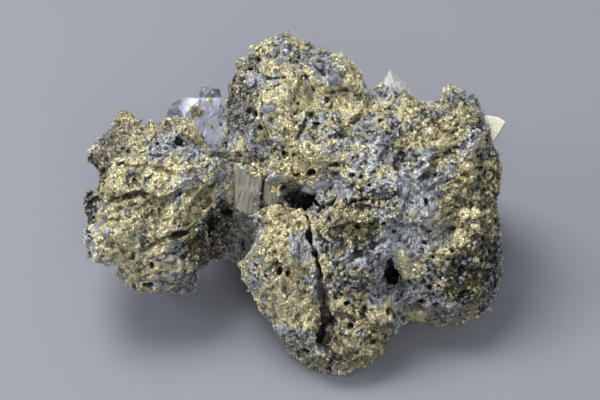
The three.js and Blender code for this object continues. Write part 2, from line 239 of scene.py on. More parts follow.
minerals = {
    # random regions for the unseen sides: each channel's middle value, the size in mm and strength of its
    # swells, and their seed
    "unseen": {
        "brass": (0.5, [(17.0, 0.55), (7.65, 0.35)], 3),
        "tan": (-0.1, [(15.3, 0.9)], 5),
        "rough": (0.92, [(11.9, 0.25)], 6),
        "tone": (0, [(10.2, 0.3)], 7),
    },
    "unseenWeight": 0.12,  # where a named region has 1
    "edge": 6,  # how sharply a named region ends
    "behind": (1.3, 3),  # how far it reaches behind its face: a share of its half size, and mm more
    "calming": 0.5,  # how much a region without a tone of its own calms the tones around it
    "brassLine": 0.55,  # the share of brass at which the skin turns from grey to brass
    "contrast": 1.6,  # how sharply it turns
    "patches": [(6.0, 0.38), (2.6, 0.45)],  # size in mm and strength of the patches inside a region
    "chipSwing": 0.85,  # how much whole chips differ
    # where each region shows, its half width and height in pixels and its turn in degrees, then how much
    # brass, tan vuggy ground, relief and tone it has; None leaves that to the regions around it. The tone is
    # largely painted light and shade: it darkens the recess, the place under the galena and the side turned
    # away from the lamps, and lightens faces and lips that catch the light
    "regions": {
        "left knob": ((127, 121), (12, 10), 0, 0.5, 0.8, 1.2, -1.2),
        "left top ground": ((112, 148), (19, 17), 0, 0.3, 1.0, 1.2, 0.4),
        "left edge bump": ((90, 162), (7, 8), 0, 0.15, 0.3, 1.0, -2.2),
        "left bright strip": ((140, 154), (7, 13), 0, 0.98, 0.0, 0.8, -0.1),
        "left second knob": ((165, 126), (15, 9), 0, 0.45, 0.7, 1.2, None),
        "knob brass": ((186, 131), (13, 8), -20, 0.85, 0.1, None, 0.8),
        "left blue patch": ((157, 153), (12, 13), 0, 0.12, 0.1, 0.9, 0.1),
        "right blue patch": ((196, 152), (14, 7), 10, 0.15, 0.0, None, 0.4),
        "brass bits": ((174, 165), (10, 7), 0, 0.92, 0.0, 1.0, 0.7),
        "smooth blue strip": ((189, 179), (14, 7), 30, 0.3, None, 0.5, 1.5),
        "brass corner": ((206, 162), (8, 12), 0, 0.9, 0.0, None, 0.1),
        "brass table": ((159, 181), (19, 15), 0, 0.95, 0.0, 0.55, -0.1),
        "left face": ((140, 215), (42, 22), -12, 0.9, 0.0, 0.6, -0.3),
        "left upper face": ((104, 184), (16, 18), 0, 0.85, 0.1, 0.7, -0.5),
        "left blue streak": ((128, 186), (6, 12), -35, 0.3, None, 0.8, -0.7),
        "sheet": ((196, 205), (14, 26), -32, 0.98, 0.0, 0.6, 0.1),
        "left lower face": ((140, 255), (38, 22), -20, 0.85, 0.0, 0.7, 0.1),
        "curtain": ((193, 252), (8, 22), 0, 0.85, 0.1, 0.9, -1.2),
        "left rim": ((88, 212), (9, 20), 0, 0.15, 0.2, 1.2, -1.1),
        "left foot": ((178, 281), (24, 9), 0, 0.2, 0.3, 1.1, None),
        "recess": ((214, 232), (18, 32), -15, 0.12, 0.4, 1.3, -2.8),
        "recess floor": ((240, 262), (16, 14), 0, -0.1, 0.45, 0.8, 1.6),
        "box ground": ((246, 234), (17, 24), 0, -0.15, 0.5, 1.3, 0.9),
        "upper left rim": ((236, 76), (15, 14), 0, 0.34, 0.5, 1.2, -1.4),
        "upper left side": ((229, 102), (12, 16), 0, 0.3, 0.5, 1.2, -1.4),
        "upper right slope": ((318, 48), (16, 10), -35, 0.28, None, 0.8, -0.2),
        "crown": ((288, 57), (18, 12), 0, 0.25, 0.2, 0.8, -0.2),
        "waist left": ((238, 158), (14, 8), 0, 0.25, 0.5, 1.2, -1.0),
        "vug ground": ((300, 198), (20, 15), 0, 0.12, 0.6, 1.2, -0.2),
        "vug right": ((322, 208), (12, 12), 0, 0.25, 0.3, 1.1, -0.7),
        "vug left": ((276, 196), (12, 10), 0, 0.35, 0.5, 1.2, -0.4),
        "top cap": ((292, 42), (20, 12), -20, 0.22, 0.2, 0.8, -0.2),
        "top streak": ((273, 62), (7, 17), 42, 0.98, 0.0, 0.8, -0.6),
        "top streak two": ((300, 36), (6, 14), 60, 1.2, 0.0, 0.8, None),
        "top vugs": ((250, 66), (13, 16), -25, 0.3, 0.5, 1.3, None),
        "shoulder blue": ((262, 82), (17, 6), 15, 0.1, None, 0.6, 0.2),
        "belly": ((284, 108), (20, 38), -14, 0.9, 0.0, 0.35, 0.25),
        "belly right": ((314, 94), (11, 15), 0, 0.9, 0.0, 0.8, 1.4),
        "hole blue": ((317, 116), (9, 14), 0, 0.25, None, 0.7, -0.3),
        "upper blue": ((327, 68), (15, 17), 20, 0.28, 0.0, 0.75, -0.1),
        "upper rim brass": ((343, 60), (9, 10), 0, 0.55, 0.1, None, 0.5),
        "yoke brass": ((341, 106), (18, 15), 0, 0.93, 0.0, 0.75, 0.5),
        "left tan wall": ((240, 110), (16, 24), 0, 0.3, 0.35, 1.35, -0.9),
        "wall blue": ((231, 139), (7, 9), 0, 0.08, None, 0.6, 0.8),
        "wall blue two": ((249, 135), (8, 8), 0, 0.15, None, 0.7, -0.1),
        "wall brass": ((239, 147), (6, 8), 0, 0.95, None, None, 0.9),
        "middle blue": ((266, 148), (18, 9), 0, 0.2, 0.1, 1.1, -0.7),
        "waist brass": ((300, 158), (24, 14), 8, 0.88, 0.1, 1.0, 0.8),
        "waist grey": ((334, 152), (11, 11), 0, 0.6, 0.4, 0.8, 2.2),
        "quartz foot": ((374, 90), (12, 7), 0, 0.08, None, 0.6, 0.5),
        "right blue": ((380, 126), (20, 20), 0, 0.22, 0.0, 1.0, -0.3),
        "right streaks": ((398, 108), (14, 16), -25, 0.75, 0.0, None, None),
        "right streak two": ((413, 102), (7, 13), -35, 0.8, None, None, -0.4),
        "saddle": ((434, 108), (14, 12), 0, 0.42, 0.1, 1.1, -0.8),
        "knob brass bits": ((458, 108), (17, 12), 0, 0.85, 0.1, None, -0.4),
        "right crest": ((396, 92), (22, 6), 0, 0.4, 0.1, None, 0.2),
        "right far side": ((490, 190), (12, 40), 0, 0.6, None, 1.2, -1.0),
        "knob": ((464, 91), (14, 9), 0, -0.4, 0.2, 1.1, -0.6),
        "right ridge": ((440, 134), (20, 18), 0, 0.85, 0.1, 1.15, -0.15),
        "right middle brass": ((408, 140), (9, 8), 0, 0.8, None, None, -0.4),
        "right rim": ((483, 120), (10, 22), 0, 0.12, 0.2, 1.2, -0.8),
        "valley": ((442, 163), (12, 10), 30, 0.45, None, 1.1, -0.1),
        "right lower blue": ((374, 165), (26, 17), 0, 0.4, 0.0, 1.1, 0.3),
        "waist bits": ((396, 175), (16, 9), 0, 0.45, None, 1.1, 1.0),
        "crumb slope": ((470, 163), (20, 10), -15, 0.78, None, 1.4, 0.4),
        "olive plane": ((463, 188), (13, 14), 30, 1.15, None, 0.3, -0.25),
        "crumb field": ((478, 207), (21, 26), 0, 0.74, None, 1.8, -0.6),
        "pale ground": ((416, 203), (17, 20), 0, 0.08, 0.1, 0.8, 0.7),
        "pale ground two": ((430, 232), (17, 14), 0, 0.15, 0.3, 0.8, 0.9),
        "dark slope": ((370, 200), (26, 9), 12, 0.4, None, 1.1, -1.0),
        "centre grey": ((336, 190), (20, 14), 0, 0.3, 0.1, 1.1, 0.25),
        "centre brass bits": ((345, 170), (14, 8), 0, 0.6, None, None, None),
        "low slope": ((350, 235), (27, 18), 20, 0.8, None, 0.75, -1.3),
        "bright blue": ((390, 240), (15, 10), 0, 0.1, None, 0.95, 0.7),
        "lobe head": ((294, 225), (15, 14), 0, 0.95, None, 0.7, 0.1),
        "lobe step": ((276, 213), (9, 9), 0, 0.9, None, 0.8, -0.9),
        "lobe blue": ((299, 250), (12, 13), 0, 0.06, None, 0.35, 2.0),
        "lobe left": ((268, 258), (12, 20), 0, 0.8, 0.1, 0.8, -0.6),
        "lobe blue two": ((314, 286), (10, 17), 15, 0.05, None, 0.6, None),
        "lobe face": ((298, 295), (17, 30), 20, 0.92, None, 0.65, 0.1),
        "lobe edge": ((272, 298), (14, 24), 25, 0.65, 0.2, 0.85, 0.15),
        "lobe foot": ((296, 345), (20, 14), 0, 0.25, 0.4, 1.2, -0.3),
        "middle grains": ((352, 282), (24, 20), 0, 0.3, 0.2, 1.15, -0.8),
        "blue lump": ((376, 290), (15, 14), 0, 0.08, None, 0.6, -0.3),
        "low bits": ((350, 312), (16, 10), 0, 0.6, None, None, -1.3),
        "toe brass": ((366, 345), (28, 19), 30, 0.88, None, 0.65, -0.7),
        "toe grey": ((334, 350), (13, 14), 0, 0.35, 0.2, None, -1.5),
        "hole lip": ((402, 264), (5, 13), 0, 1.0, None, 0.5, 2.2),
        "right bits": ((438, 274), (15, 17), 0, 0.55, None, 1.7, None),
        "hip grey": ((418, 296), (24, 13), 0, 0.12, 0.2, 1.1, -0.1),
        "hip brass": ((420, 317), (9, 11), 0, 1.1, 0.3, 0.7, 0.6),
        "hip ground": ((446, 312), (22, 12), 0, 0.25, 0.4, None, -0.2),
        "dark edge": ((486, 272), (18, 38), 0, 0.4, None, 1.7, -1.2),
        "cliff": ((203, 203), (9, 12), -40, 0.9, 0.0, 1.5, -0.8),
        "grey shoulder": ((223, 184), (7, 19), -15, 0.08, 0.0, 0.7, 0.1),
        "under galena": ((222, 157), (9, 6), 0, 0.2, 0.2, 1.2, -2.4),
        "belly foot": ((282, 151), (17, 5), -8, 0.3, None, 1.3, -0.8),
        "yoke olive": ((329, 108), (7, 12), 0, 1.1, 0.0, 0.3, -1.0),
        "dark side": ((474, 276), (26, 30), 0, 0.45, 0.1, 1.7, -1.8),
    },
}

# holes: where each shows, half its width and height in pixels, its turn in degrees and its depth in mm
holes = {
    "main vug": [
        ((302, 201), (17, 13), -20, 18), ((291, 196), (9, 9), 0, 11), ((281, 205), (6, 5), 20, 7),
        ((277, 195), (4, 4), 0, 6), ((283, 188), (5, 4), 0, 6), ((313, 198), (5, 5), 0, 8),
        ((320, 209), (3, 6), -25, 6), ((297, 175), (4, 3), 0, 5),
    ],
    "black hole": [
        ((391, 274), (10, 12), 12, 18), ((390, 264), (6, 9), 0, 18), ((384, 275), (6, 6), 0, 16),
        ((397, 279), (6, 9), 0, 15),
    ],
    "belly": [
        ((311, 112), (3, 6), 0, 6), ((309, 103), (2, 2), 0, 4), ((298, 103), (1.5, 2), 0, 3),
        ((316, 123), (4, 1.6), 0, 3), ((284, 134), (1.4, 1.6), 0, 2.4),
    ],
    "waist": [
        ((334, 165), (6, 2.4), 12, 4), ((311, 172), (5, 4), 0, 6), ((284, 153), (2.4, 4), 0, 4),
    ],
    "top": [
        ((268, 77), (5, 1.6), -20, 2.5), ((258, 60), (3, 5), 0, 5), ((251, 68), (4, 3), 0, 5),
    ],
    "left wall": [
        ((247, 110), (3, 5), 20, 5), ((254, 115), (3, 4), 0, 4), ((259, 128), (3, 4), 0, 4),
        ((214, 152), (6, 7), 0, 6),
    ],
    "left lobe": [
        ((178, 142), (9, 5), -15, 6), ((145, 122), (5, 7), 0, 6), ((156, 127), (2.4, 2), 0, 3),
        ((166, 124), (2, 2.6), 0, 3), ((157, 144), (2, 2.4), 0, 3), ((123, 148), (3, 2), 20, 3),
        ((128, 150), (2, 2.4), 0, 3), ((105, 143), (2, 2), 0, 3), ((120, 163), (5, 2), 15, 3),
        ((94, 218), (4, 3), 0, 4), ((87, 204), (2, 3), 0, 3), ((103, 235), (4, 2.4), 0, 3),
        ((180, 237), (11, 3.6), 4, 7), ((151, 266), (3, 4), 0, 4), ((148, 285), (6, 3.4), 0, 6),
        ((176, 248), (3, 2), 0, 3),
    ],
    "recess": [
        ((210, 226), (13, 17), -20, 10), ((224, 214), (10, 11), 0, 9), ((216, 148), (6, 4), 0, 6),
        ((214, 247), (9, 6), -30, 6), ((243, 246), (3, 6), 20, 4), ((249, 220), (3, 3), 0, 4),
        ((260, 205), (6, 5), 0, 6), ((262, 190), (3, 11), 12, 7),
    ],
    "lobe": [
        ((279, 270), (3.4, 5), -10, 6), ((288, 273), (2.4, 3.6), 0, 5), ((279, 241), (2, 3), -30, 3),
        ((305, 351), (6, 3.4), -20, 6),
    ],
    "slope": [
        ((358, 228), (5, 4), 0, 4), ((372, 224), (4, 2.6), -20, 4), ((384, 224), (3, 2), 0, 3),
        ((352, 175), (3, 2.4), 0, 4), ((361, 177), (2.4, 2.4), 0, 4), ((369, 185), (2.4, 1.8), 0, 3),
        ((436, 175), (2.4, 4), 0, 3),
    ],
    "fissure": [
        ((310, 238), (5, 8), 10, 8), ((315, 254), (4, 7), 20, 7), ((328, 318), (8, 13), 20, 7),
        ((321, 334), (9, 10), -20, 7), ((320, 285), (3, 9), 8, 6), ((336, 318), (3, 6), 10, 6),
        ((333, 202), (4, 9), -25, 7), ((329, 219), (2.6, 5), 20, 5),
    ],
    "middle": [
        ((330, 277), (3, 2), 0, 3), ((340, 288), (2.6, 2.6), 0, 4), ((346, 303), (3.4, 2.6), 0, 4),
        ((364, 308), (2.6, 4), 0, 4), ((350, 326), (5, 4), 0, 4), ((388, 311), (5, 5), 0, 6),
        ((354, 288), (3, 2), 0, 3), ((420, 302), (4, 2), 0, 3), ((447, 313), (4, 2), 0, 3),
    ],
    "dark side": [
        ((452, 229), (5, 2.6), -8, 4), ((480, 176), (3, 5), 20, 4), ((472, 187), (3, 6), 15, 4),
        ((452, 251), (3, 3), 0, 4), ((462, 270), (5, 3), -20, 4), ((482, 262), (4, 5), 0, 4),
        ((470, 292), (6, 2.6), 10, 4), ((486, 290), (3, 5), 0, 4), ((484, 240), (3, 5), 20, 4),
        ((432, 256), (3, 2.4), 0, 3), ((430, 288), (3, 3), 0, 4),
    ],
    "pale ground": [
        ((425, 242), (3.4, 3), 0, 4), ((423, 227), (4, 2.6), -35, 3.4), ((431, 232), (3, 1.6), 0, 3),
        ((394, 232), (2.4, 2), 0, 3), ((404, 205), (2.4, 4), 15, 4), ((426, 202), (2, 4), 0, 4),
    ],
    "upper right": [
        ((374, 103), (2.4, 3), 0, 4), ((380, 110), (3, 2.4), 0, 4), ((380, 120), (3, 3), 0, 4),
        ((388, 108), (2, 3), 0, 4),
    ],
}

# cracks and the shadow lines under ledges: a line of places, half its width in pixels, its depth in mm
cracks = {
    "fissure top": ([(306, 215), (309, 224), (310, 240), (316, 260), (321, 274)], 2.1, 8),
    "fissure": ([(321, 274), (323, 290), (324, 304)], 2.6, 6.5),
    "fissure foot": ([(325, 308), (327, 320), (322, 332), (318, 341)], 5.0, 6.5),
    "vug branch": ([(312, 200), (322, 208), (330, 203), (336, 197)], 2.0, 5),
    "table ledge": ([(146, 193), (155, 199), (163, 200), (172, 193), (186, 186)], 0.8, 1.8),
    "strip ledge": ([(186, 186), (198, 183), (208, 178)], 0.8, 1.8),
    "table top ledge": ([(150, 167), (162, 166), (172, 172), (178, 176)], 0.7, 1.4),
    "left crack": ([(118, 245), (128, 249), (136, 250), (146, 247)], 0.7, 2.0),
    "yoke valley": ([(304, 73), (314, 90), (326, 110), (334, 122), (341, 130)], 1.3, 2.2),
    "yoke ledge": ([(341, 130), (350, 122), (357, 116)], 1.4, 3.0),
    "ridge shadow": ([(434, 155), (441, 152), (449, 150), (457, 145)], 1.6, 3.0),
    "ridge shadow two": ([(457, 145), (466, 149), (475, 146)], 0.9, 2.0),
    "slope shadow": ([(352, 202), (366, 199), (380, 203), (392, 198)], 1.5, 3.0),
    "slope shadow two": ([(368, 216), (380, 221), (392, 219)], 1.2, 2.4),
    "lobe seam": ([(282, 238), (285, 256), (290, 272), (294, 290)], 0.7, 2.0),
    "toe seam": ([(390, 306), (396, 320), (393, 336)], 2.4, 5.0),
    "shoulder seam": ([(260, 92), (262, 106), (262, 122), (268, 136)], 1.5, 2.6),
    "belly foot": ([(268, 136), (274, 144), (284, 148), (296, 146)], 1.2, 2.4),
    "streak seam": ([(261, 50), (268, 62), (277, 74)], 0.7, 1.4),
    "column floor": ([(230, 214), (240, 217), (252, 219)], 1.6, 4.0),
}

# flat breaks in the broad shape: where, half width and height in pixels, how far the face leans
# to the right and up from facing the viewer in degrees, and how far it sinks in mm
flats = [
    {"name": "brass table", "at": (161, 182), "size": (21, 15), "turn": -8, "lean": (4, 22), "sink": -0.9},
    {"name": "sheet", "at": (190, 202), "size": (18, 26), "turn": -35, "lean": (30, -8), "sink": -0.6},
    {"name": "left chin", "at": (150, 268), "size": (28, 13), "turn": -10, "lean": (0, -34), "sink": 0.3},
    {"name": "curtain", "at": (192, 256), "size": (9, 18), "lean": (8, -12), "sink": -0.8},
    {"name": "ridge top", "at": (440, 138), "size": (18, 11), "turn": -10, "lean": (6, 30), "sink": -0.7},
    {"name": "olive plane", "at": (463, 188), "size": (9, 12), "turn": 28, "lean": (26, -20), "sink": -0.4},
]

flatEdge = {
    "ragged": (3.6, 0.22),  # size in mm and strength of their uneven edges
    "fade": (0.86, 1.12),  # where they end, as shares of their half size
    "depth": 8,  # mm before and behind them that they reach
    "depthFade": (0.7, 1.0),  # where they fade out, as shares of that depth
    "most": 2.2,  # mm that the skin moves at most
}

# ledges: a line of places, how far the skin drops beyond it in mm, and over how many pixels that fades;
# the dropped side is below a line that runs to the right, and to the left of one that runs down
ledges = {
    "ground edge": ([(101, 169), (112, 164), (122, 162), (136, 165)], 1.0, 6),
    "table top": ([(138, 166), (150, 165), (162, 167), (171, 171), (178, 177)], 0.8, 5),
    "table edge": ([(112, 198), (124, 195), (134, 191), (142, 190), (152, 194), (160, 201)], 1.5, 10),
    "table corner": ([(160, 201), (167, 203), (175, 196), (186, 189), (198, 186)], 0.6, 6),
    "sheet cliff": ([(184, 222), (188, 212), (194, 200), (203, 190), (212, 182)], 1.5, 9),
    "notch": ([(164, 236), (170, 232), (178, 232), (186, 229), (193, 224)], 2.0, 7),
    "low ledge": ([(108, 238), (118, 245), (128, 249), (136, 250), (146, 246), (154, 240)], 1.0, 7),
    "rim": ([(99, 186), (99, 198), (96, 208), (104, 217), (112, 218)], 1.1, 10),
    "low rim": ([(90, 236), (100, 240), (108, 241)], 0.9, 5),
    "streak underside": ([(258, 70), (266, 75), (274, 77), (282, 76)], 1.1, 6),
    "shoulder edge": ([(256, 85), (266, 87), (278, 84)], 0.6, 4),
    "belly side": ([(258, 90), (260, 104), (260, 118), (264, 130), (270, 142), (280, 149)], 1.9, 14),
    "belly foot": ([(266, 142), (280, 150), (294, 153)], 0.9, 6),
    "belly right": ([(296, 138), (303, 126), (307, 110), (308, 92)], 1.3, 8),
    "yoke edge": ([(336, 133), (344, 130), (351, 122), (359, 112)], 2.2, 9),
    "blue underside": ([(322, 92), (332, 91), (344, 88), (354, 91)], 0.9, 4),
    "ridge edge": ([(424, 172), (430, 166), (434, 158), (440, 154), (448, 152), (457, 147)], 2.4, 13),
    "small ledge": ([(388, 151), (396, 148), (404, 146), (413, 149)], 1.0, 5),
    "pale edge": ([(398, 221), (410, 223), (420, 222), (427, 228)], 1.1, 6),
    "crumb edge": ([(446, 226), (456, 229), (464, 227), (472, 233)], 1.4, 8),
    "crumb hollow": ([(458, 178), (464, 172), (470, 168), (478, 166)], 1.2, 8),
    "slope band": ([(342, 260), (354, 254), (366, 247), (379, 240)], 1.5, 8),
    "slope step": ([(336, 226), (348, 222), (360, 222), (374, 226)], 1.2, 7),
    "vug lip": ([(284, 186), (294, 184), (302, 190)], 1.6, 8),
    "lobe top": ([(278, 216), (286, 222), (282, 236)], 0.9, 6),
}
ledgeEdge = {
    "ragged": [(2.4, 2.2), (1.0, 1.0)],  # size in mm and strength in pixels of the ledges' uneven edges
    "swing": [(3.5, 0.45)],  # size in mm and strength of the changes in the drop along a ledge
    "drop": 0.85,  # the share of the drop around which it changes
    "sharp": 0.8,  # pixels to each side of the line over which the skin drops
    "whole": 0.3,  # the share of the fade over which it stays down
    "lip": 0.10,  # how far the skin rises before a ledge, as a share of its drop
    "lipReach": 0.6,  # from how far before the line it rises, as a share of the fade
    "lipEdge": 0.5,  # pixels before the line at which it is highest, and beyond it at which it is gone
    "margin": 4,  # pixels around a ledge that are looked at
    "depth": (4.0, 7.0),  # mm before or behind the line at which it fades out
}

carving = {
    "wobble": 0.55,  # how uneven the walls of holes are
    "walls": (1.7, 3.6, 0.7),  # mm across their small and large folds, and the strength of the large ones
    "taper": 0.25,  # how much narrower a hole is at its end
    "lead": 1.5,  # mm outside the skin where each cut starts
    "hole": (0.75, 0.35),  # how much a hole follows the line of sight and the skin's normal
    "deepHole": (0.75, 0.05),  # the same for the deepest, which go straight in
    "deepFrom": 14,  # mm, the depth from which a hole counts as one of those
    "crack": (0.6, 0.5),
    "crackStep": 0.7,  # mm between the cuts along a crack
}

relief = {
    "voxel": 0.41,  # mm, the finest step of the lump's skin
    "coarse": 1.75,  # mm, the step of the broad shape
    "band": 3.3,  # mm either side of the broad shape that gets relief
    "folds": [(7.5, 0.60), (3.4, 0.42), (1.8, 0.45), (1.0, 0.28)],  # size and height of the hackly facets, mm
    "bend": (7.0, 1.6),  # size and reach of the drift that bends the chips and folds, mm
    "terraces": {  # ledges one below the other on the smoother brass
        "spacing": 3.6,  # mm
        "height": 0.35,  # mm
        "sway": (8.0, 2.4),  # size and reach of their slow waves, mm
        "ragged": (3.2, 1.7),  # size and reach of their kinks, mm
        "patches": 9.0,  # mm across the patches that have them
        "lip": 0.88,  # the share of the spacing at which one drops back
    },
    "chips": [  # chips and crumbs: their size, how far they tilt, step out and how deep the gaps between are
        {"size": 2.3, "tilt": 0.85, "step": 0.6, "groove": 0.8, "seed": 50},
        {"size": 1.3, "tilt": 0.8, "step": 0.3, "groove": 0.25, "seed": 60},
    ],
    "plain": 0.65,  # the share of that chip relief on the smoothest parts
    "byRough": {  # the roughness from which each begins, and at which it is full
        "crumbs": (0.75, 1.3), "gaps": (1.0, 1.35), "noTerraces": (0.85, 1.1), "pores": (0.9, 1.3),
    },
    "pores": (2.3, 0.85),  # spacing and radius of the pores, mm
    "poreShare": (0.03, 0.42, 0.14),  # how many: anywhere, more on tan ground, more where it is rough
    "poreWalls": (1.5, 0.45),  # size and depth of their uneven walls, mm
    "parts": [("left_lobe", -99, -22), ("upper_lobe", -22, 1), ("lower_lobe", 1, 25), ("right_lobe", 25, 99)],
    "overlap": 1.0,  # mm that neighbouring parts share
    "kept": 0.545,  # the share of the triangles that each part keeps
    "triangles": 195000,  # at most, in each part
    "creases": 0.07,  # how softly points are pulled to the creases
}


def gridPoints(low, step, counts):
    axes = [low[n] + step * np.arange(counts[n]) for n in range(3)]
    return np.stack(np.meshgrid(*axes, indexing="ij"), -1).reshape(-1, 3).astype(np.float32)


def gridBlock(field, low, step, first, last, more=0):
    # the part of the grid between two corners, and its points; nothing where that lies outside the grid
    a = np.clip(np.floor((first - low) / step).astype(int), 0, field.shape)
    b = np.clip(np.ceil((last - low) / step).astype(int) + more, 0, field.shape)
    if (b <= a).any():
        return None, None
    return field[a[0]:b[0], a[1]:b[1], a[2]:b[2]], gridPoints(np.array(low) + step * a, step, b - a)


def distanceGrid(tree, low, step, counts):
    # signed distance to the broad shape, negative inside, on the coarse grid
    inside = np.zeros(counts, bool)
    heights = low[2] + step * np.arange(counts[2])
    for i in range(counts[0]):
        for j in range(counts[1]):
            # a hair beside the grid's lines, so that no ray runs along an edge
            start = Vector((low[0] + step * i + 0.011, low[1] + step * j + 0.007, low[2] - 5))
            crossings = []
            while len(crossings) < 24:
                point, _, _, _ = tree.ray_cast(start, Vector((0, 0, 1)))
                if point is None:
                    break
                crossings.append(point.z)
                start = point + Vector((0, 0, 0.002))
            for n in range(0, len(crossings) - 1, 2):
                inside[i, j, (heights > crossings[n]) & (heights < crossings[n + 1])] = True
    points = gridPoints(low, step, counts)
    gaps = np.array([tree.find_nearest(Vector(p))[3] for p in points.tolist()], np.float32)
    return np.where(inside.reshape(-1), -gaps, gaps).reshape(counts)


def stretched(grid, counts, low, step, coarseLow, coarseStep):
    # the coarse grid read at every point of a finer grid, one axis after the other
    for axis in range(3):
        place = (low[axis] + step * np.arange(counts[axis]) - coarseLow[axis]) / coarseStep
        first = np.clip(np.floor(place).astype(int), 0, grid.shape[axis] - 2)
        part = np.clip(place - first, 0, 1).astype(np.float32)
        shape = [1, 1, 1]
        shape[axis] = -1
        part = part.reshape(shape)
        grid = np.take(grid, first, axis) * (1 - part) + np.take(grid, first + 1, axis) * part
    return grid.astype(np.float32)


def readGrid(grid, points, low, step):
    # the grid's value at each point
    place = (points - np.array(low, np.float32)) / step
    cell = np.clip(np.floor(place).astype(np.int32), 0, np.array(grid.shape) - 2)
    part = np.clip(place - cell, 0, 1).astype(np.float32)
    total = np.zeros(len(points), np.float32)
    for i, j, k, share in cornerShares(part):
        total += share * grid[cell[:, 0] + i, cell[:, 1] + j, cell[:, 2] + k]
    return total


def mineralChannels(points):
    # brass, tan, rough and tone at each point: random regions all round, set regions where they are named;
    # the named tones are mostly painted light and shade
    base = {name: layered(softNoise, points, layers, seed, middle)
            for name, (middle, layers, seed) in minerals["unseen"].items()}
    base["tan"] = np.clip(base["tan"], 0, 1)
    unseen = minerals["unseenWeight"]
    depth, more = minerals["behind"]
    total = {name: base[name] * unseen for name in base}
    weight = {name: np.full(len(points), unseen, np.float32) for name in base}
    for at, half, turn, *given in minerals["regions"].values():
        away = points - placeAt(*at)[0].astype(np.float32)
        along, across = onFace(away, turn, half)
        deep = reachAlong(away, towards) / (depth * (max(half) * view["pixel"]) + more)
        outside = minerals["edge"] * (along ** 2 + across ** 2 + deep ** 2 - 1)
        share = 1 / (1 + np.exp(np.clip(outside, -30, 30)))
        for name, value in zip(base, given):
            if value is not None:
                total[name] += share * value
                weight[name] += share
            elif name == "tone":
                weight[name] += share * minerals["calming"]
    return {name: (total[name] / weight[name]).astype(np.float32) for name in base}


def bentPoints(points):
    size, reach = relief["bend"]
    return points + np.stack([softNoise(points, size, seed) for seed in (14, 15, 16)], 1) * np.float32(reach)


def brassField(points, brass, chip):
    # over 0 where the skin is brass, under 0 where it is grey; whole chips are one or the other
    swing = layered(softNoise, points, minerals["patches"], 8) + minerals["chipSwing"] * (chip - 0.5)
    return (brass - minerals["brassLine"]) * minerals["contrast"] + swing


def ledgeDrop(points):
    # how far the skin sinks beyond the ledges, in mm
    x, y = inView(points)
    ragged = layered(softNoise, points, ledgeEdge["ragged"], 26)
    swing = layered(softNoise, points, ledgeEdge["swing"], 28, ledgeEdge["drop"])
    margin, sharp, lipEdge = ledgeEdge["margin"], ledgeEdge["sharp"], ledgeEdge["lipEdge"]
    total = np.zeros(len(points), np.float32)
    for places, most, fade in ledges.values():
        line = np.array(places, float)
        a, b = line.min(0) - fade - margin, line.max(0) + fade + margin
        inside = np.where((x > a[0]) & (x < b[0]) & (y > a[1]) & (y < b[1]))[0]
        spots = [placeAt(*place)[0] for place in places]
        px, py, here = x[inside], y[inside], points[inside]
        nearest = np.full(len(inside), 99, np.float32)
        side = np.zeros(len(inside), np.float32)
        depth = np.zeros(len(inside), np.float32)
        for start, end, spot, nextSpot in zip(line, line[1:], spots, spots[1:]):
            run = end - start
            length = math.hypot(*run)
            share = np.clip(((px - start[0]) * run[0] + (py - start[1]) * run[1]) / length ** 2, 0, 1)
            gapX = px - start[0] - share * run[0]
            gapY = py - start[1] - share * run[1]
            gap = np.sqrt(gapX ** 2 + gapY ** 2)
            closer = gap < nearest
            nearest = np.where(closer, gap, nearest)
            side = np.where(closer, (gapX * -run[1] + gapY * run[0]) / length, side)
            way = spot @ towards + share * ((nextSpot - spot) @ towards)
            depth = np.where(closer, reachAlong(here, towards) - way, depth)
        signed = np.where(side > 0, nearest, -nearest) + ragged[inside]
        drop = ease(signed, -sharp, sharp) * (1 - ease(signed, ledgeEdge["whole"] * fade, fade)) * most
        lip = ledgeEdge["lip"] * most * ease(signed, -ledgeEdge["lipReach"] * fade, -lipEdge)
        lip = lip * (1 - ease(signed, -lipEdge, lipEdge))
        gate = 1 - ease(np.abs(depth), *ledgeEdge["depth"])
        total[inside] = np.maximum(total[inside], gate * drop * swing[inside]) - gate * lip
    return total


def terraces(points):
    # small ledges one below the other: each stands out further down and then drops back
    plan = relief["terraces"]
    swaySize, sway = plan["sway"]
    kinkSize, kinks = plan["ragged"]
    climb = reachAlong(points, upward) + sway * softNoise(points, swaySize, 33)
    climb = climb + kinks * foldNoise(points, kinkSize, 34)
    share = (-climb / plan["spacing"]) % 1
    strength = ease(softNoise(points, plan["patches"], 35), -0.3, 0.4)
    return plan["height"] * strength * (share * (1 - ease(share, plan["lip"], 1.0)) - 0.4)


def skinRelief(points, channels):
    # how far the skin stands out from the broad shape in mm, the brass field, and the pores
    bent = bentPoints(points)
    chips = [chipNoise(bent, plan["size"], plan["seed"]) for plan in relief["chips"]]
    brass = brassField(points, channels["brass"], chips[0][1])
    share = ease(brass, -0.12, 0.12)
    rough = channels["rough"]
    byRough = {name: ease(rough, *reach) for name, reach in relief["byRough"].items()}
    crumbs = relief["plain"] + (1.1 - relief["plain"]) * byRough["crumbs"]
    gaps = 0.1 + 0.9 * byRough["gaps"]
    rise = layered(foldNoise, bent, relief["folds"], 30) * (0.3 + 0.7 * rough)
    rise += terraces(points) * (1 - byRough["noTerraces"]) * share
    for plan, (edge, mark, tilt, _) in zip(relief["chips"], chips):
        groove = 1 - ease(edge, 0.0, 0.3 * plan["size"])
        rise += crumbs * (plan["step"] * (mark - 0.5) + plan["tilt"] * tilt) - gaps * plan["groove"] * groove
    spacing, radius = relief["pores"]
    _, mark, _, near = chipNoise(bent, spacing, 80)
    anywhere, onTan, onRough = relief["poreShare"]
    pored = anywhere + onTan * channels["tan"] + onRough * byRough["pores"]
    size = radius * (0.55 + 0.75 * mark / pored)
    wallSize, wallDepth = relief["poreWalls"]
    ragged = wallDepth * foldNoise(points, wallSize, 85)
    pores = np.where(mark < pored, near - size + ragged, 9).astype(np.float32)
    return (rise - ledgeDrop(points)).astype(np.float32), brass, pores


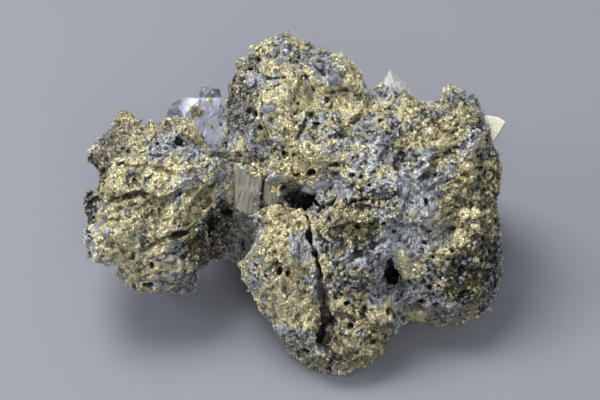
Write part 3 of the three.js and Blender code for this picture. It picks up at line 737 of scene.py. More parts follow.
def flatten(field, low, step):
    # turns patches of the broad shape to flat faces, with a small step at their edges
    size, ragged = flatEdge["ragged"]
    most = flatEdge["most"]
    for flat in flats:
        point, _ = placeAt(*flat["at"])
        right, rise = (math.tan(math.radians(angle)) for angle in flat["lean"])
        normal = unit(towards + right * sideways + rise * upward)
        reach = max(flat["size"]) * view["pixel"] * 1.5 + 2
        part, points = gridBlock(field, low, step, point - reach, point + reach)
        away = points - point.astype(np.float32)
        along, across = onFace(away, flat.get("turn", 0), flat["size"])
        deep = reachAlong(away, towards) / flatEdge["depth"]
        distance = np.sqrt(along ** 2 + across ** 2) + ragged * softNoise(points, size, 24)
        share = (1 - ease(distance, *flatEdge["fade"])) * (1 - ease(np.abs(deep), *flatEdge["depthFade"]))
        share = share.reshape(part.shape)
        plane = (reachAlong(away, normal) + flat["sink"]).reshape(part.shape)
        part[...] = part * (1 - share) + np.clip(plane, part - most, part + most) * share


def carve(field, low, step, spot, inward, depth, radius, seed=60, flat=None):
    # cuts a rough-walled round-ended hole from outside the skin inward; flat squeezes it to an oval section
    inward = unit(inward)
    start, end = spot - inward * carving["lead"], spot + inward * depth
    reach = max(radius) + 1.5
    first, last = np.minimum(start, end) - reach, np.maximum(start, end) + reach
    part, points = gridBlock(field, low, step, first, last, more=1)
    if part is None:
        return
    axis = end - start
    length = np.linalg.norm(axis)
    axis = axis / length
    along = np.clip((points - start) @ axis, 0, length)
    away = points - (start + along[:, None] * axis)
    wide = unit(flat - axis * (flat @ axis) if flat is not None else np.cross(axis, (0.3, 0.8, 0.52)))
    tall = np.cross(axis, wide)
    taper = 1 - carving["taper"] * along / length
    across = np.sqrt((away @ wide / radius[0]) ** 2 + (away @ tall / radius[1]) ** 2
                     + (away @ axis / min(radius)) ** 2)
    shape = (across - taper) * min(radius)
    small, large, strength = carving["walls"]
    uneven = strength * foldNoise(points, large, seed + 5) * min(max(radius) / 2.5, 1)
    uneven = foldNoise(points, small, seed) + uneven
    shape += carving["wobble"] * min(min(radius), 1.6) * uneven
    np.maximum(part, -shape.reshape(part.shape), out=part)


def carveNamed(field, low, step):
    pixel = view["pixel"]
    for at, size, turn, depth in (hole for group in holes.values() for hole in group):
        spot, normal = placeAt(*at)
        sight, skin = carving["hole" if depth < carving["deepFrom"] else "deepHole"]
        radius = (size[0] * pixel, size[1] * pixel)
        inward = -(sight * towards + skin * normal)
        carve(field, low, step, spot, inward, depth, radius, flat=turnedAxis(turn))
    sight, skin = carving["crack"]
    for line, half, depth in cracks.values():
        places = [placeAt(*place) for place in line]
        for (a, normalA), (b, normalB) in zip(places, places[1:]):
            count = max(1, int(np.linalg.norm(b - a) / carving["crackStep"]))
            for n in range(count + 1):
                spot = a + (b - a) * n / count
                normal = normalA + (normalB - normalA) * n / count
                inward = -(sight * towards + skin * normal)
                carve(field, low, step, spot, inward, depth, (half * pixel,) * 2, seed=61)


def skinMesh(field, low, step):
    # the zero surface of the grid, one point in each cell it passes, pulled to the creases
    counts = field.shape
    inside = field < 0
    total = np.zeros([n - 1 for n in counts], np.int8)
    for i, j, k in cellCorners:
        total += inside[i:counts[0] - 1 + i, j:counts[1] - 1 + j, k:counts[2] - 1 + k]
    cells = np.argwhere((total > 0) & (total < 8)).astype(np.int32)
    slopes = np.gradient(field)
    gram = np.zeros((len(cells), 3, 3), np.float32)
    pull = np.zeros((len(cells), 3), np.float32)
    middle = np.zeros((len(cells), 3), np.float32)
    hits = np.zeros(len(cells), np.float32)
    for first in cellCorners:
        for axis in range(3):
            if first[axis]:
                continue
            second = list(first)
            second[axis] = 1
            p = cells + np.array(first, np.int32)
            q = cells + np.array(second, np.int32)
            a, b = field[tuple(p.T)], field[tuple(q.T)]
            crossed = np.where((a < 0) != (b < 0))[0]
            part = a[crossed] / (a[crossed] - b[crossed])
            p, q = tuple(p[crossed].T), tuple(q[crossed].T)
            normal = np.stack([slope[p] * (1 - part) + slope[q] * part for slope in slopes], 1)
            normal /= np.maximum(np.linalg.norm(normal, axis=1, keepdims=True), 1e-6)
            place = np.tile(np.array(first, np.float32), (len(crossed), 1))
            place[:, axis] = part
            gram[crossed] += normal[:, :, None] * normal[:, None, :]
            pull[crossed] += normal * (normal * place).sum(1, keepdims=True)
            middle[crossed] += place
            hits[crossed] += 1
    middle /= hits[:, None]
    hold = relief["creases"]
    gram += hold * np.eye(3, dtype=np.float32)
    pull += hold * middle
    place = np.clip(np.linalg.solve(gram, pull[:, :, None])[:, :, 0], 0.02, 0.98)
    points = (cells + place) * step + np.array(low)
    index = np.full([n - 1 for n in counts], -1, np.int32)
    index[tuple(cells.T)] = np.arange(len(cells))
    quads = []
    for axis in range(3):
        u, v = (axis + 1) % 3, (axis + 2) % 3
        here = [slice(1, -1)] * 3
        there = [slice(1, -1)] * 3
        here[axis], there[axis] = slice(0, -1), slice(1, None)
        a, b = inside[tuple(here)], inside[tuple(there)]
        edges = np.argwhere(a != b).astype(np.int32)
        flip = a[tuple(edges.T)]
        edges[:, u] += 1
        edges[:, v] += 1
        ring = []
        for du, dv in ((-1, -1), (0, -1), (0, 0), (-1, 0)):
            at = edges.copy()
            at[:, u] += du
            at[:, v] += dv
            ring.append(index[tuple(at.T)])
        ring = np.stack(ring, 1)
        ring[~flip] = ring[~flip][:, ::-1]
        quads.append(ring)
    return points, np.concatenate(quads)


def newPiece(name, points, faces, smooth=False):
    # a mesh object from points in mm and faces of three or four corners
    mesh = bpy.data.meshes.new(name)
    faces = np.asarray(faces, np.int32)
    mesh.vertices.add(len(points))
    mesh.vertices.foreach_set("co", (np.asarray(points, np.float32) * np.float32(mm)).ravel())
    mesh.loops.add(faces.size)
    mesh.loops.foreach_set("vertex_index", faces.ravel())
    mesh.polygons.add(len(faces))
    mesh.polygons.foreach_set("loop_start", np.arange(0, faces.size, faces.shape[1], dtype=np.int32))
    mesh.polygons.foreach_set("loop_total", np.full(len(faces), faces.shape[1], np.int32))
    mesh.update(calc_edges=True)
    mesh.validate()
    mesh.polygons.foreach_set("use_smooth", np.full(len(mesh.polygons), smooth, bool))
    piece = bpy.data.objects.new(name, mesh)
    bpy.context.scene.collection.objects.link(piece)
    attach(piece, "root")
    return piece


def thinned(piece, triangles):
    # fewer triangles on the flats, kept on the creases
    piece.data.calc_loop_triangles()
    ratio = triangles / len(piece.data.loop_triangles)
    if ratio < 1:
        fewer = piece.modifiers.new("fewer", "DECIMATE")
        fewer.ratio = ratio
        fewer.use_collapse_triangulate = True
        shown = piece.evaluated_get(bpy.context.evaluated_depsgraph_get())
        mesh = bpy.data.meshes.new_from_object(shown)
        piece.modifiers.clear()
        old = piece.data
        piece.data = mesh
        mesh.name = piece.name
        bpy.data.meshes.remove(old)
    return piece


def pointsOf(piece):
    return readMesh(piece.data.vertices, "co", 3) / np.float32(mm)


def giveAttributes(piece, **channels):
    for name, values in channels.items():
        attribute = piece.data.attributes.new(name, "FLOAT", "POINT")
        attribute.data.foreach_set("value", np.asarray(values, np.float32))


massLow, massHigh = (np.array(corner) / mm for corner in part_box("sulphide_mass"))
coarseLow = massLow - 7
coarseCounts = np.ceil((massHigh + 7 - coarseLow) / relief["coarse"]).astype(int) + 1
broad = distanceGrid(treeOf("sulphide_mass"), coarseLow, relief["coarse"], tuple(coarseCounts))
channelGrids = {name: values.reshape(coarseCounts) for name, values
                in mineralChannels(gridPoints(coarseLow, relief["coarse"], coarseCounts)).items()}
print("broad shape and mineral regions read")


def channelsAt(points):
    return {name: readGrid(grid, points, coarseLow, relief["coarse"]) for name, grid in channelGrids.items()}


def massSkin():
    # the lump's signed distance on the fine grid, with all its relief, and the same before the relief
    step = relief["voxel"]
    gridLow = massLow - 4
    counts = np.ceil((massHigh + 4 - gridLow) / step).astype(int) + 1
    field = stretched(broad, counts, gridLow, step, coarseLow, relief["coarse"])
    flatten(field, gridLow, step)
    flattened = field.copy()
    flatField = field.reshape(-1)
    band = np.where(np.abs(flatField) < relief["band"])[0]
    cells = np.stack(np.unravel_index(band, counts), 1)
    points = (cells * step + gridLow).astype(np.float32)
    rise, _, pores = skinRelief(points, channelsAt(points))
    flatField[band] = np.maximum(flatField[band] - rise, -pores)
    field = flatField.reshape(counts)
    carveNamed(field, gridLow, step)
    heights = (gridLow[2] + step * np.arange(counts[2])).astype(np.float32)
    field = np.maximum(field, (tabletop - heights)[None, None, :])
    print("relief on", len(points), "grid points")
    return field, flattened, gridLow, step


def averaged(field, widths):
    # the field averaged with its neighbours at each of those distances in steps
    for width in widths:
        for axis in range(3):
            after = np.roll(field, -width, axis)
            after += np.roll(field, width, axis)
            after += field
            field = after / np.float32(3)
    return field


def partOf(field, low, step, start, end):
    # a closed slice of the lump between two places along x, in mm
    first = max(int(round((start - relief["overlap"] - low[0]) / step)), 1)
    last = min(int(round((end + relief["overlap"] - low[0]) / step)), field.shape[0] - 2)
    piece = field[first - 1:last + 2].copy()
    for side in (0, -1):
        piece[side] = np.maximum(piece[side], 0.5 * step)
    return piece, [low[0] + step * (first - 1), low[1], low[2]]


def hollowness(piece):
    # how far each point lies below the average of its surroundings, in mm
    mesh = piece.data
    points = pointsOf(piece)
    a, b = readMesh(mesh.edges, "vertices", 2, np.int32).T
    count = np.maximum(np.bincount(a, minlength=len(points)) + np.bincount(b, minlength=len(points)), 1)
    smooth = points.copy()
    for _ in range(3):
        for axis in range(3):
            value = smooth[:, axis]
            summed = np.bincount(a, value[b], len(points)) + np.bincount(b, value[a], len(points))
            smooth[:, axis] = 0.5 * value + 0.5 * summed / count
    return ((smooth - points) * readMesh(mesh.vertices, "normal", 3)).sum(1)


def giveSkin(piece):
    skin = pointsOf(piece)
    channels = channelsAt(skin)
    _, brass, _ = skinRelief(skin, channels)
    depth, groove, hollow = (readGrid(grid, skin, lumpLow, lumpStep)
                             for grid in (lumpFlats, grooves, hollows))
    # the tone attribute carries the regions' painted light and shade along with their random tone
    giveAttributes(piece, brass=brass, tan=channels["tan"], tone=channels["tone"],
                   height=depth + np.maximum(ledgeDrop(skin), 0), groove=groove, hollow=hollow)


lumpField, lumpFlats, lumpLow, lumpStep = massSkin()
grooves = lumpField - averaged(lumpField, (1, 1))
hollows = lumpField - averaged(lumpField, (1, 2, 4))
lumps = []
for partName, start, end in relief["parts"]:
    slab, slabLow = partOf(lumpField, lumpLow, lumpStep, start, end)
    points, quads = skinMesh(slab, slabLow, lumpStep)
    kept = min(2 * len(quads) * relief["kept"], relief["triangles"])
    lump = thinned(newPiece(partName, points, quads), kept)
    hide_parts("sulphide_mass")
    giveSkin(lump)
    lumps.append(lump)
    print(partName, len(quads), "quads, then", len(lump.data.polygons), "faces")


def evenDirections(random, count, rounds, push):
    # random directions that are pushed apart until they are spread evenly
    ways = random.normal(0, 1, (count, 3))
    for _ in range(rounds):
        ways /= np.linalg.norm(ways, axis=1, keepdims=True)
        apart = ways[:, None] - ways[None]
        gap = np.linalg.norm(apart, axis=2) + np.eye(len(ways))
        ways = ways + push * (apart / gap[:, :, None] ** 3).sum(1)
    return ways / np.linalg.norm(ways, axis=1, keepdims=True)


def meshOf(shape):
    points = np.array([v.co for v in shape.verts])
    faces = np.array([[v.index for v in f.verts] for f in shape.faces])
    shape.free()
    return points, faces


def bevelledLump(random, facets, sharpness, detail, stretch):
    # a closed lump with flat faces and softened edges, about 1 mm in radius
    ball = bmesh.new()
    bmesh.ops.create_icosphere(ball, subdivisions=detail, radius=1)
    directions, faces = meshOf(ball)
    sides = evenDirections(random, facets, 12, 0.08)
    facing = np.maximum(directions @ sides.T, 0) / random.uniform(0.70, 1.0, facets)
    radius = (facing ** sharpness).sum(1) ** (-1 / sharpness)
    return directions * radius[:, None] * np.array(stretch), faces


def angularGrain(random, corners):
    # a small crystal with flat faces: the hull of a few corners about 1 mm from its middle
    spots = evenDirections(random, corners, 10, 0.06)
    spots *= random.uniform(0.85, 1.1, (corners, 1)) * random.uniform(0.7, 1.2, 3)
    hull = bmesh.new()
    for spot in spots:
        hull.verts.new(spot)
    bmesh.ops.convex_hull(hull, input=hull.verts)
    bmesh.ops.triangulate(hull, faces=hull.faces)
    hull.verts.index_update()
    return meshOf(hull)


def turnsOf(random, count):
    # random turns as 3 by 3 matrices
    q = random.normal(0, 1, (count, 4))
    q /= np.linalg.norm(q, axis=1, keepdims=True)
    w, x, y, z = q.T
    return np.stack([
        np.stack([1 - 2 * (y * y + z * z), 2 * (x * y - z * w), 2 * (x * z + y * w)], 1),
        np.stack([2 * (x * y + z * w), 1 - 2 * (x * x + z * z), 2 * (y * z - x * w)], 1),
        np.stack([2 * (x * z - y * w), 2 * (y * z + x * w), 1 - 2 * (x * x + y * y)], 1),
    ], 1)


def joined(parts):
    # several meshes and the tones of their points as one
    allPoints, allFaces, allTones = zip(*parts)
    starts = np.cumsum([0] + [len(points) for points in allPoints[:-1]])
    faces = np.concatenate([faces + start for faces, start in zip(allFaces, starts)])
    return np.concatenate(allPoints), faces, np.concatenate(allTones)


def joinedGrains(name, spots, outward, plan, random):
    # many small grains as one piece, each turned its own way and sunk a little into what it grows on
    least, most = plan["size"]
    sizes = least + (most - least) * random.random(len(spots)) ** plan["fewLarge"]
    templates = [angularGrain(random, random.integers(*plan["corners"])) for _ in range(plan["shapes"])]
    choice = random.integers(0, len(templates), len(spots))
    turns = turnsOf(random, len(spots))
    tones = random.random(len(spots))
    parts = []
    for n, (points, faces) in enumerate(templates):
        chosen = np.where(choice == n)[0]
        if len(chosen) == 0:
            continue
        made = np.einsum("nij,pj->npi", turns[chosen], points) * sizes[chosen, None, None]
        made += (spots[chosen] - outward[chosen] * (sizes[chosen, None] * plan["sink"]))[:, None]
        faces = faces[None] + (np.arange(len(chosen)) * len(points))[:, None, None]
        parts.append((made.reshape(-1, 3), faces.reshape(-1, 3), np.repeat(tones[chosen], len(points))))
    points, faces, tones = joined(parts)
    points[:, 2] = np.maximum(points[:, 2], tabletop)
    piece = newPiece(name, points, faces)
    giveAttributes(piece, grainTone=tones)
    return piece


def skinSpots(random, count):
    # random places all over the lump's skin, with their normals
    areas = [readMesh(lump.data.polygons, "area", 1).ravel() for lump in lumps]
    whole = sum(size.sum() for size in areas)
    spots, outward = [], []
    for lump, size in zip(lumps, areas):
        number = int(count * size.sum() / whole)
        chosen = random.choice(len(size), number, p=size / size.sum())
        spots.append(readMesh(lump.data.polygons, "center", 3)[chosen] / mm)
        outward.append(readMesh(lump.data.polygons, "normal", 3)[chosen])
    return np.concatenate(spots), np.concatenate(outward)


# size is the radius in mm; the larger fewLarge is, the fewer grains come near the upper size
grains = {
    "tries": 30000,  # places tried all over the skin
    "roughFrom": 0.75,  # the roughness from which they grow
    "often": (0.03, 2.2),  # how often they grow on the smoothest and the roughest parts
    "seed": 5,
    "brass": {"count": 7400, "size": (0.3, 0.95), "corners": (9, 13)},
    "grey": {"count": 3800, "size": (0.3, 0.85), "corners": (8, 12)},
    "both": {"fewLarge": 2.2, "shapes": 16, "sink": 0.45},
}


def coatWithGrains():
    random = np.random.default_rng(grains["seed"])
    spots, outward = skinSpots(random, grains["tries"])
    places = spots.astype(np.float32)
    channels = channelsAt(places)
    chips = relief["chips"][0]
    _, chip, _, _ = chipNoise(bentPoints(places), chips["size"], chips["seed"])
    field = brassField(places, channels["brass"], chip)
    liking = np.clip((channels["rough"] - grains["roughFrom"]) * 2, *grains["often"])
    made = []
    for name, wanted, slot in (("brass", field > 0.0, "chalcopyrite"), ("grey", field < 0.0, "galena")):
        plan = {**grains["both"], **grains[name]}
        chance = liking * wanted * (1 - 0.5 * channels["tan"])
        chosen = random.choice(len(spots), plan["count"], replace=False, p=chance / chance.sum())
        made.append(joinedGrains(name + "_grains", spots[chosen], outward[chosen], plan, random))
        print(name, "grains:", len(made[-1].data.polygons), "faces")
    return made


brassGrains, greyGrains = coatWithGrains()


# the step of each crystal's grid and the strength of its relief in mm; how far the columns lean in degrees
crystals = {
    "grown": 0.22,  # mm that each stands out from its node
    "galena": {"voxel": 0.42, "swell": 0.14, "dents": 0.12, "chips": 0.12},
    "siderite": {"voxel": 0.30, "furrow": 0.2, "wave": 1.1, "lean": 7.0},
    "quartz": {"voxel": 0.36, "swell": 0.10, "steps": 0.05},
    "plate": {"voxel": 0.32, "swell": 0.12, "chips": 0.10},
}
# where the painted light and shade change across the crystals, in pixels
paintedCrystalShade = {
    "column": (249, 14),  # the middle and half width of the columns
    "galena": (187, 8),  # the same for the edge between the face painted light and the face painted dark
    "dome": 3.0,  # how much darker the small dome beside that edge is painted, as painted shade
    "domeLeft": (196, 201),  # from where to where it fades in to the right
    "domeFoot": (95, 100),  # and out further down
}


def crystalSkin(nodeName, voxel, shape):
    # a crystal of the frame again, on a fine grid, with the relief that shape gives at each point
    points, _ = nodeArrays(nodeName)
    start = points.min(0) - 3 * voxel
    counts = np.ceil((points.max(0) + 3 * voxel - start) / voxel).astype(int) + 1
    field = distanceGrid(treeOf(nodeName), start, voxel, tuple(counts))
    relieved = field.reshape(-1) - crystals["grown"] - shape(gridPoints(start, voxel, counts))
    return skinMesh(relieved.reshape(counts).astype(np.float32), start, voxel)


def galenaShape(points):
    plan = crystals["galena"]
    _, mark, tilt, _ = chipNoise(points, 2.2, 120)
    dents = np.minimum(softNoise(points, 2.6, 101) + 0.35, 0)
    return (plan["swell"] * softNoise(points, 5.0, 100) + plan["dents"] * 1.6 * dents
            + plan["chips"] * (mark - 0.5) + plan["chips"] * 1.2 * tilt)


def drawnOut(points, squeeze):
    # the points pressed together along the columns, so that noise draws out into streaks
    turn = math.radians(crystals["siderite"]["lean"])
    axis = (upward * math.cos(turn) + sideways * math.sin(turn)).astype(np.float32)
    return points - np.outer(points @ axis, axis) * np.float32(1 - squeeze)


def sideriteShape(points):
    plan = crystals["siderite"]
    drift = points + np.outer(softNoise(points, 4.5, 110), sideways).astype(np.float32) * np.float32(0.5)
    furrow = foldNoise(drawnOut(drift, 0.10), 0.9, 111) + 0.6 * foldNoise(drawnOut(drift, 0.16), 0.5, 112)
    return plan["furrow"] * furrow + plan["wave"] * 0.5 * softNoise(drawnOut(points, 0.4), 3.0, 113)


def quartzShape(points):
    plan = crystals["quartz"]
    bands = np.abs((points[:, 2] * 1.3 + 0.4 * softNoise(points, 3.0, 116)) % 1 - 0.5)
    return plan["swell"] * softNoise(points, 2.6, 115) + plan["steps"] * (bands - 0.25)


def plateShape(points):
    plan = crystals["plate"]
    _, mark, tilt, _ = chipNoise(points, 1.6, 125)
    return plan["swell"] * softNoise(points, 3.0, 118) + plan["chips"] * (mark - 0.5 + tilt)


def makeCrystals():
    made = {}
    for piece, nodeName, kind, slot, shape in (
        ("galena_crystal_pair", "galena_crystals", "galena", "galena", galenaShape),
        ("siderite_column", "siderite_large", "siderite", "siderite", sideriteShape),
        ("siderite_small_column", "siderite_small", "siderite", "siderite", sideriteShape),
        ("quartz_crystals", "quartz_points", "quartz", "quartz", quartzShape),
        ("calcite_chip", "calcite_plate", "plate", "calcite", plateShape),
    ):
        points, quads = crystalSkin(nodeName, crystals[kind]["voxel"], shape)
        made[piece] = newPiece(piece, points, quads, smooth=kind == "quartz")
        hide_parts(nodeName)
        giveAttributes(made[piece], groove=hollowness(made[piece]))
        print(piece, len(quads), "quads")
    # the columns are painted lighter on the left and darker on the right: painted light and shade
    middle, half = paintedCrystalShade["column"]
    for piece in (made["siderite_column"], made["siderite_small_column"]):
        skin = pointsOf(piece)
        across = (inView(skin)[0] - middle) / half
        giveAttributes(piece, streak=softNoise(drawnOut(skin, 0.07), 0.55, 114), across=across)
    # the galena is painted darker on its left face and on the small dome, and lighter on its right face:
    # painted shade and light
    pair = made["galena_crystal_pair"]
    x, y = inView(pointsOf(pair))
    middle, half = paintedCrystalShade["galena"]
    dome = ease(x, *paintedCrystalShade["domeLeft"]) * (1 - ease(y, *paintedCrystalShade["domeFoot"]))
    giveAttributes(pair, across=np.clip((x - middle) / half, -1, 1) - paintedCrystalShade["dome"] * dome)
    return made


crystalPieces = makeCrystals()

# single crystals and lumps set in the skin: where, half width and height in pixels, turn in degrees, and how
# far they stand out as a share of their size; then, where they matter, the tone, which paints them lighter
# or darker as painted light and shade, and what they sit on
setIn = {
    "thick": 0.55,  # how thick they are, as a share of their smaller half size
    "grown": 1.12,  # how much larger they are made, since their edges round off
    "chips": {"brass": 1.0, "grey": 0.5, "pale": 0.5, "tan": 0.5, "clear": 0.5},  # how chipped they are
    "grey": {
        "flat oval": ((267, 109), (6.4, 5), 0, 0.3),
        "vug pebble": ((309, 187), (8, 6.5), 0, 0.6),
        "vug pebble two": ((322, 185), (8, 5), 10, 0.5),
        "waist flat": ((277, 177), (10, 3.6), 0, 0.3),
        "upper facet two": ((335, 80), (9, 5), -10, 0.35),
        "speck": ((107, 234), (4, 3.5), 40, 0.6),
    },
    "pale": {
        "quartz foot": ((373, 88), (8, 4), 0, 0.3),
    },
    "brass": {
        "knob top": ((125, 117), (10, 7), 0, 0.45, -0.6),
        "upper facet": ((347, 82), (7, 7), 20, 0.45),
        "galena lump": ((193, 109), (4.5, 4), 0, 0.7, -0.5, "galena_crystals"),
        "galena lump two": ((198, 113), (4, 3.4), 30, 0.6, -0.5, "galena_crystals"),
        "galena bit two": ((208, 101), (3, 2.5), 0, 0.8, None, "galena_crystals"),
        "hole lip": ((402, 256), (5, 8), 10, 0.6, 1.8),
        "hole lip two": ((404, 271), (4, 8), 0, 0.5, 1.8),
        "hip lump": ((420, 314), (7, 9), 30, 0.5, 0.4),
        "streak lump": ((271, 68), (9, 7), 10, 0.45),
        "knob lump": ((187, 131), (9, 6), -15, 0.4),
        "ridge lump": ((441, 144), (9, 6), 10, 0.35),
        "lobe step": ((275, 210), (8, 7), 10, 0.3),
        "crumb": ((465, 214), (6, 5), 20, 0.5, 1.0),
        "crumb two": ((475, 213), (5, 5), 0, 0.5, 1.0),
        "crumb three": ((459, 234), (4, 7), -15, 0.5, 1.0),
        "crumb four": ((467, 167), (6, 6), 0, 0.4),
        "crumb five": ((488, 165), (5, 4), 0, 0.4),
        "crumb six": ((476, 227), (4, 4), 30, 0.5, 1.0),
        "crumb seven": ((476, 259), (3.5, 3.5), 10, 0.5, 1.0),
    },
    "clear": {
        "quartz shoulder": ((402, 83), (9, 6.5), -20, 0.7),
    },
    "tan": {
        "pale tan": ((413, 213), (6.5, 5.5), 10, 0.25),
        "pale tan two": ((437, 216), (4.5, 6), -10, 0.25),
        "quartz side": ((408, 84), (4, 4), 0, 0.5),
    },
}

# small grains that grow over the edges of the crystals: where, half width and height in pixels, turn in
# degrees, how many and on what
crusts = {
    "grains": {"size": (0.4, 1.15), "fewLarge": 1.5, "corners": (9, 14), "shapes": 12, "sink": 0.3},
    "brass": {
        "galena grains": ((196, 111), (6, 7), 0, 40, "galena_crystals"),
        "galena top": ((182, 98), (4, 2), 0, 5, "galena_crystals"),
        "galena right": ((208, 101), (3, 2), 0, 5, "galena_crystals"),
        "galena low": ((211, 126), (3, 2), 0, 5, "galena_crystals"),
        "galena low two": ((203, 126), (2, 2), 0, 2, "galena_crystals"),
        "column top": ((253, 170), (10, 5), -25, 60, "siderite_large"),
        "column left top": ((236, 166), (5, 3), 0, 12, "siderite_large"),
        "small column": ((276, 190), (4, 9), 0, 34, "siderite_small"),
        "small column top": ((270, 179), (6, 3), 0, 16, "siderite_small"),
        "left of column": ((231, 190), (5, 12), 0, 50, "sulphide_mass"),
    },
    "grey": {
        "column right": ((259, 196), (3, 14), 0, 24, "siderite_large"),
        "column top": ((247, 167), (13, 4), -15, 40, "siderite_large"),
        "galena dome": ((209, 92), (9, 4), 0, 4, "galena_crystals"),
        "galena left edge": ((169, 108), (8, 3), 25, 26, "galena_crystals"),
        "galena edge": ((221, 118), (2, 16), 0, 12, "galena_crystals"),
        "left of column": ((231, 192), (5, 13), 0, 40, "sulphide_mass"),
    },
}


def growCrusts(kind, seed):
    random = np.random.default_rng(seed)
    places = []
    for at, half, turn, count, carrier in crusts[kind].values():
        turn = math.radians(turn)
        for _ in range(count):
            angle, reach = random.uniform(0, 2 * math.pi), math.sqrt(random.random())
            right = math.cos(angle) * reach * half[0]
            up = math.sin(angle) * reach * half[1]
            x = at[0] + right * math.cos(turn) - up * math.sin(turn)
            y = at[1] - right * math.sin(turn) - up * math.cos(turn)
            if treeOf(carrier).ray_cast(Vector(lens), sightLine(x, y))[0] is not None:
                places.append(placeAt(x, y, carrier))
    spots, outward = (np.array(values) for values in zip(*places))
    return joinedGrains("crust_" + kind, spots, outward, crusts["grains"], random)


def makeSetIn(kind, seed):
    random = np.random.default_rng(seed)
    chipped = setIn["chips"][kind]
    parts = []
    for at, half, turn, out, *more in setIn[kind].values():
        tone, carrier = more + [None, "sulphide_mass"][len(more):]
        place, outward = placeAt(*at, carrier)
        outward = unit(0.6 * outward + 0.4 * towards)
        points, faces = bevelledLump(random, 11, 22, 3, random.uniform(0.9, 1.1, 3))
        wide = turnedAxis(turn)
        wide = unit(wide - outward * (wide @ outward))
        tall = np.cross(outward, wide)
        halfWide, halfTall = (side * view["pixel"] * setIn["grown"] for side in half)
        thick = setIn["thick"] * min(halfWide, halfTall) + 0.8
        spot = place + outward * (out * min(halfWide, halfTall) - thick * 0.85 + 0.35)
        made = (points[:, :1] * halfWide * wide + points[:, 1:2] * halfTall * tall
                + points[:, 2:] * thick * outward + spot)
        skin = made.astype(np.float32)
        _, mark, tilt, _ = chipNoise(skin, 1.5, 132)
        swell = 0.3 * foldNoise(skin, 2.2, 130) + chipped * (0.45 * (mark - 0.5) + 0.8 * tilt)
        made = made + swell[:, None] * points / np.linalg.norm(points, axis=1, keepdims=True)
        anyTone = random.uniform(-0.3, 0.4)
        parts.append((made, faces, np.full(len(points), anyTone if tone is None else tone)))
    points, faces, tones = joined(parts)
    piece = newPiece("set_in_" + kind, points, faces)
    giveAttributes(piece, tone=tones, groove=hollowness(piece), brass=np.full(len(points), 1.0))
    print("set in", kind + ":", len(piece.data.polygons), "faces")
    return piece


setInPieces = {kind: makeSetIn(kind, seed) for kind, slot, seed in (
    ("grey", "galena", 21), ("pale", "calcite", 22), ("brass", "chalcopyrite", 23), ("tan", "siderite", 24),
    ("clear", "quartz", 25))}
crustPieces = {"brass": growCrusts("brass", 31), "grey": growCrusts("grey", 32)}


# materials
def feed(tree, made, inputs):
    # links the sockets among the values, and sets the plain ones
    for name, value in inputs.items():
        socket = made.inputs[name]
        if isinstance(value, bpy.types.NodeSocket):
            tree.links.new(value, socket)
        elif socket.type == "RGBA":
            socket.default_value = (*value, 1.0)
        else:
            socket.default_value = value


def node(tree, kind, inputs, **settings):
    made = tree.nodes.new("ShaderNode" + kind)
    for name, value in settings.items():
        setattr(made, name, value)
    feed(tree, made, inputs)
    return made


def calc(tree, operation, *values, clamp=False):
    return node(tree, "Math", dict(enumerate(values)), operation=operation, use_clamp=clamp).outputs[0]


def vectors(tree, operation, *values):
    return node(tree, "VectorMath", dict(enumerate(values)), operation=operation).outputs[0]


def scaled(tree, value, by):
    return node(tree, "VectorMath", {0: value, "Scale": by}, operation="SCALE").outputs[0]


def ranged(tree, value, fromLow, fromHigh, toLow=0.0, toHigh=1.0):
    return node(tree, "MapRange", {"Value": value, "From Min": fromLow, "From Max": fromHigh,
                                   "To Min": toLow, "To Max": toHigh}).outputs[0]


def mixed(tree, share, first, second):
    return node(tree, "Mix", {0: share, 6: first, 7: second}, data_type="RGBA").outputs[2]


def attribute(tree, name):
    return node(tree, "Attribute", {}, attribute_name=name).outputs["Fac"]


def twoNormals(tree, first, second):
    return vectors(tree, "NORMALIZE", vectors(tree, "ADD", first, second))


def centred(tree, colour):
    return vectors(tree, "SUBTRACT", colour, (0.5, 0.5, 0.5))


def bumped(tree, height, strength, distance, **more):
    inputs = {"Height": height, "Strength": strength, "Distance": distance, **more}
    return node(tree, "Bump", inputs).outputs[0]


def newGroup(name, ins, outs):
    # a shader group with a number for each name in ins; gives its inputs, the places, its scale and its end
    group = bpy.data.node_groups.new(name, "ShaderNodeTree")
    for label, value in ins.items():
        socket = group.interface.new_socket(name=label, in_out="INPUT", socket_type="NodeSocketFloat")
        socket.default_value = value
    for label, kind in outs.items():
        group.interface.new_socket(name=label, in_out="OUTPUT", socket_type="NodeSocket" + kind)
    given = group.nodes.new("NodeGroupInput").outputs
    place = node(group, "TexCoord", {}).outputs["Object"]
    scale = calc(group, "DIVIDE", 1.0, given["Size"])
    return group, given, place, scale, group.nodes.new("NodeGroupOutput")


def seeded(group, given, place):
    shift = node(group, "CombineXYZ", {axis: given["Seed"] for axis in "XYZ"}).outputs[0]
    return vectors(group, "ADD", place, shift)


def crystalFacets():
    # small flat faces that each lean their own way, with a random tone for each
    group, given, place, scale, out = newGroup(
        "crystalFacets", {"Size": 0.001, "Tilt": 0.5, "Seed": 0.0}, {"Normal": "Vector", "Tone": "Float"})
    cells = node(group, "TexVoronoi", {"Vector": seeded(group, given, place), "Scale": scale,
                                       "Randomness": 1.0}).outputs["Color"]
    leaned = scaled(group, centred(group, cells), given["Tilt"])
    face = node(group, "NewGeometry", {}).outputs["Normal"]
    tone = node(group, "SeparateColor", {"Color": cells}).outputs["Green"]
    feed(group, out, {"Normal": twoNormals(group, face, leaned), "Tone": tone})
    return group


def mottle():
    # soft blotches at one size, between 0 and 1, with the contrast that is asked for
    group, given, place, scale, out = newGroup(
        "mottle", {"Size": 0.004, "Contrast": 2.0, "Seed": 0.0}, {"Share": "Float"})
    noise = node(group, "TexNoise", {"Vector": place, "W": given["Seed"], "Scale": scale, "Detail": 3.0,
                                     "Roughness": 0.6}, noise_dimensions="4D").outputs["Fac"]
    swing = calc(group, "SUBTRACT", noise, 0.5)
    share = calc(group, "MULTIPLY_ADD", swing, given["Contrast"], 0.5, clamp=True)
    feed(group, out, {"Share": share})
    return group


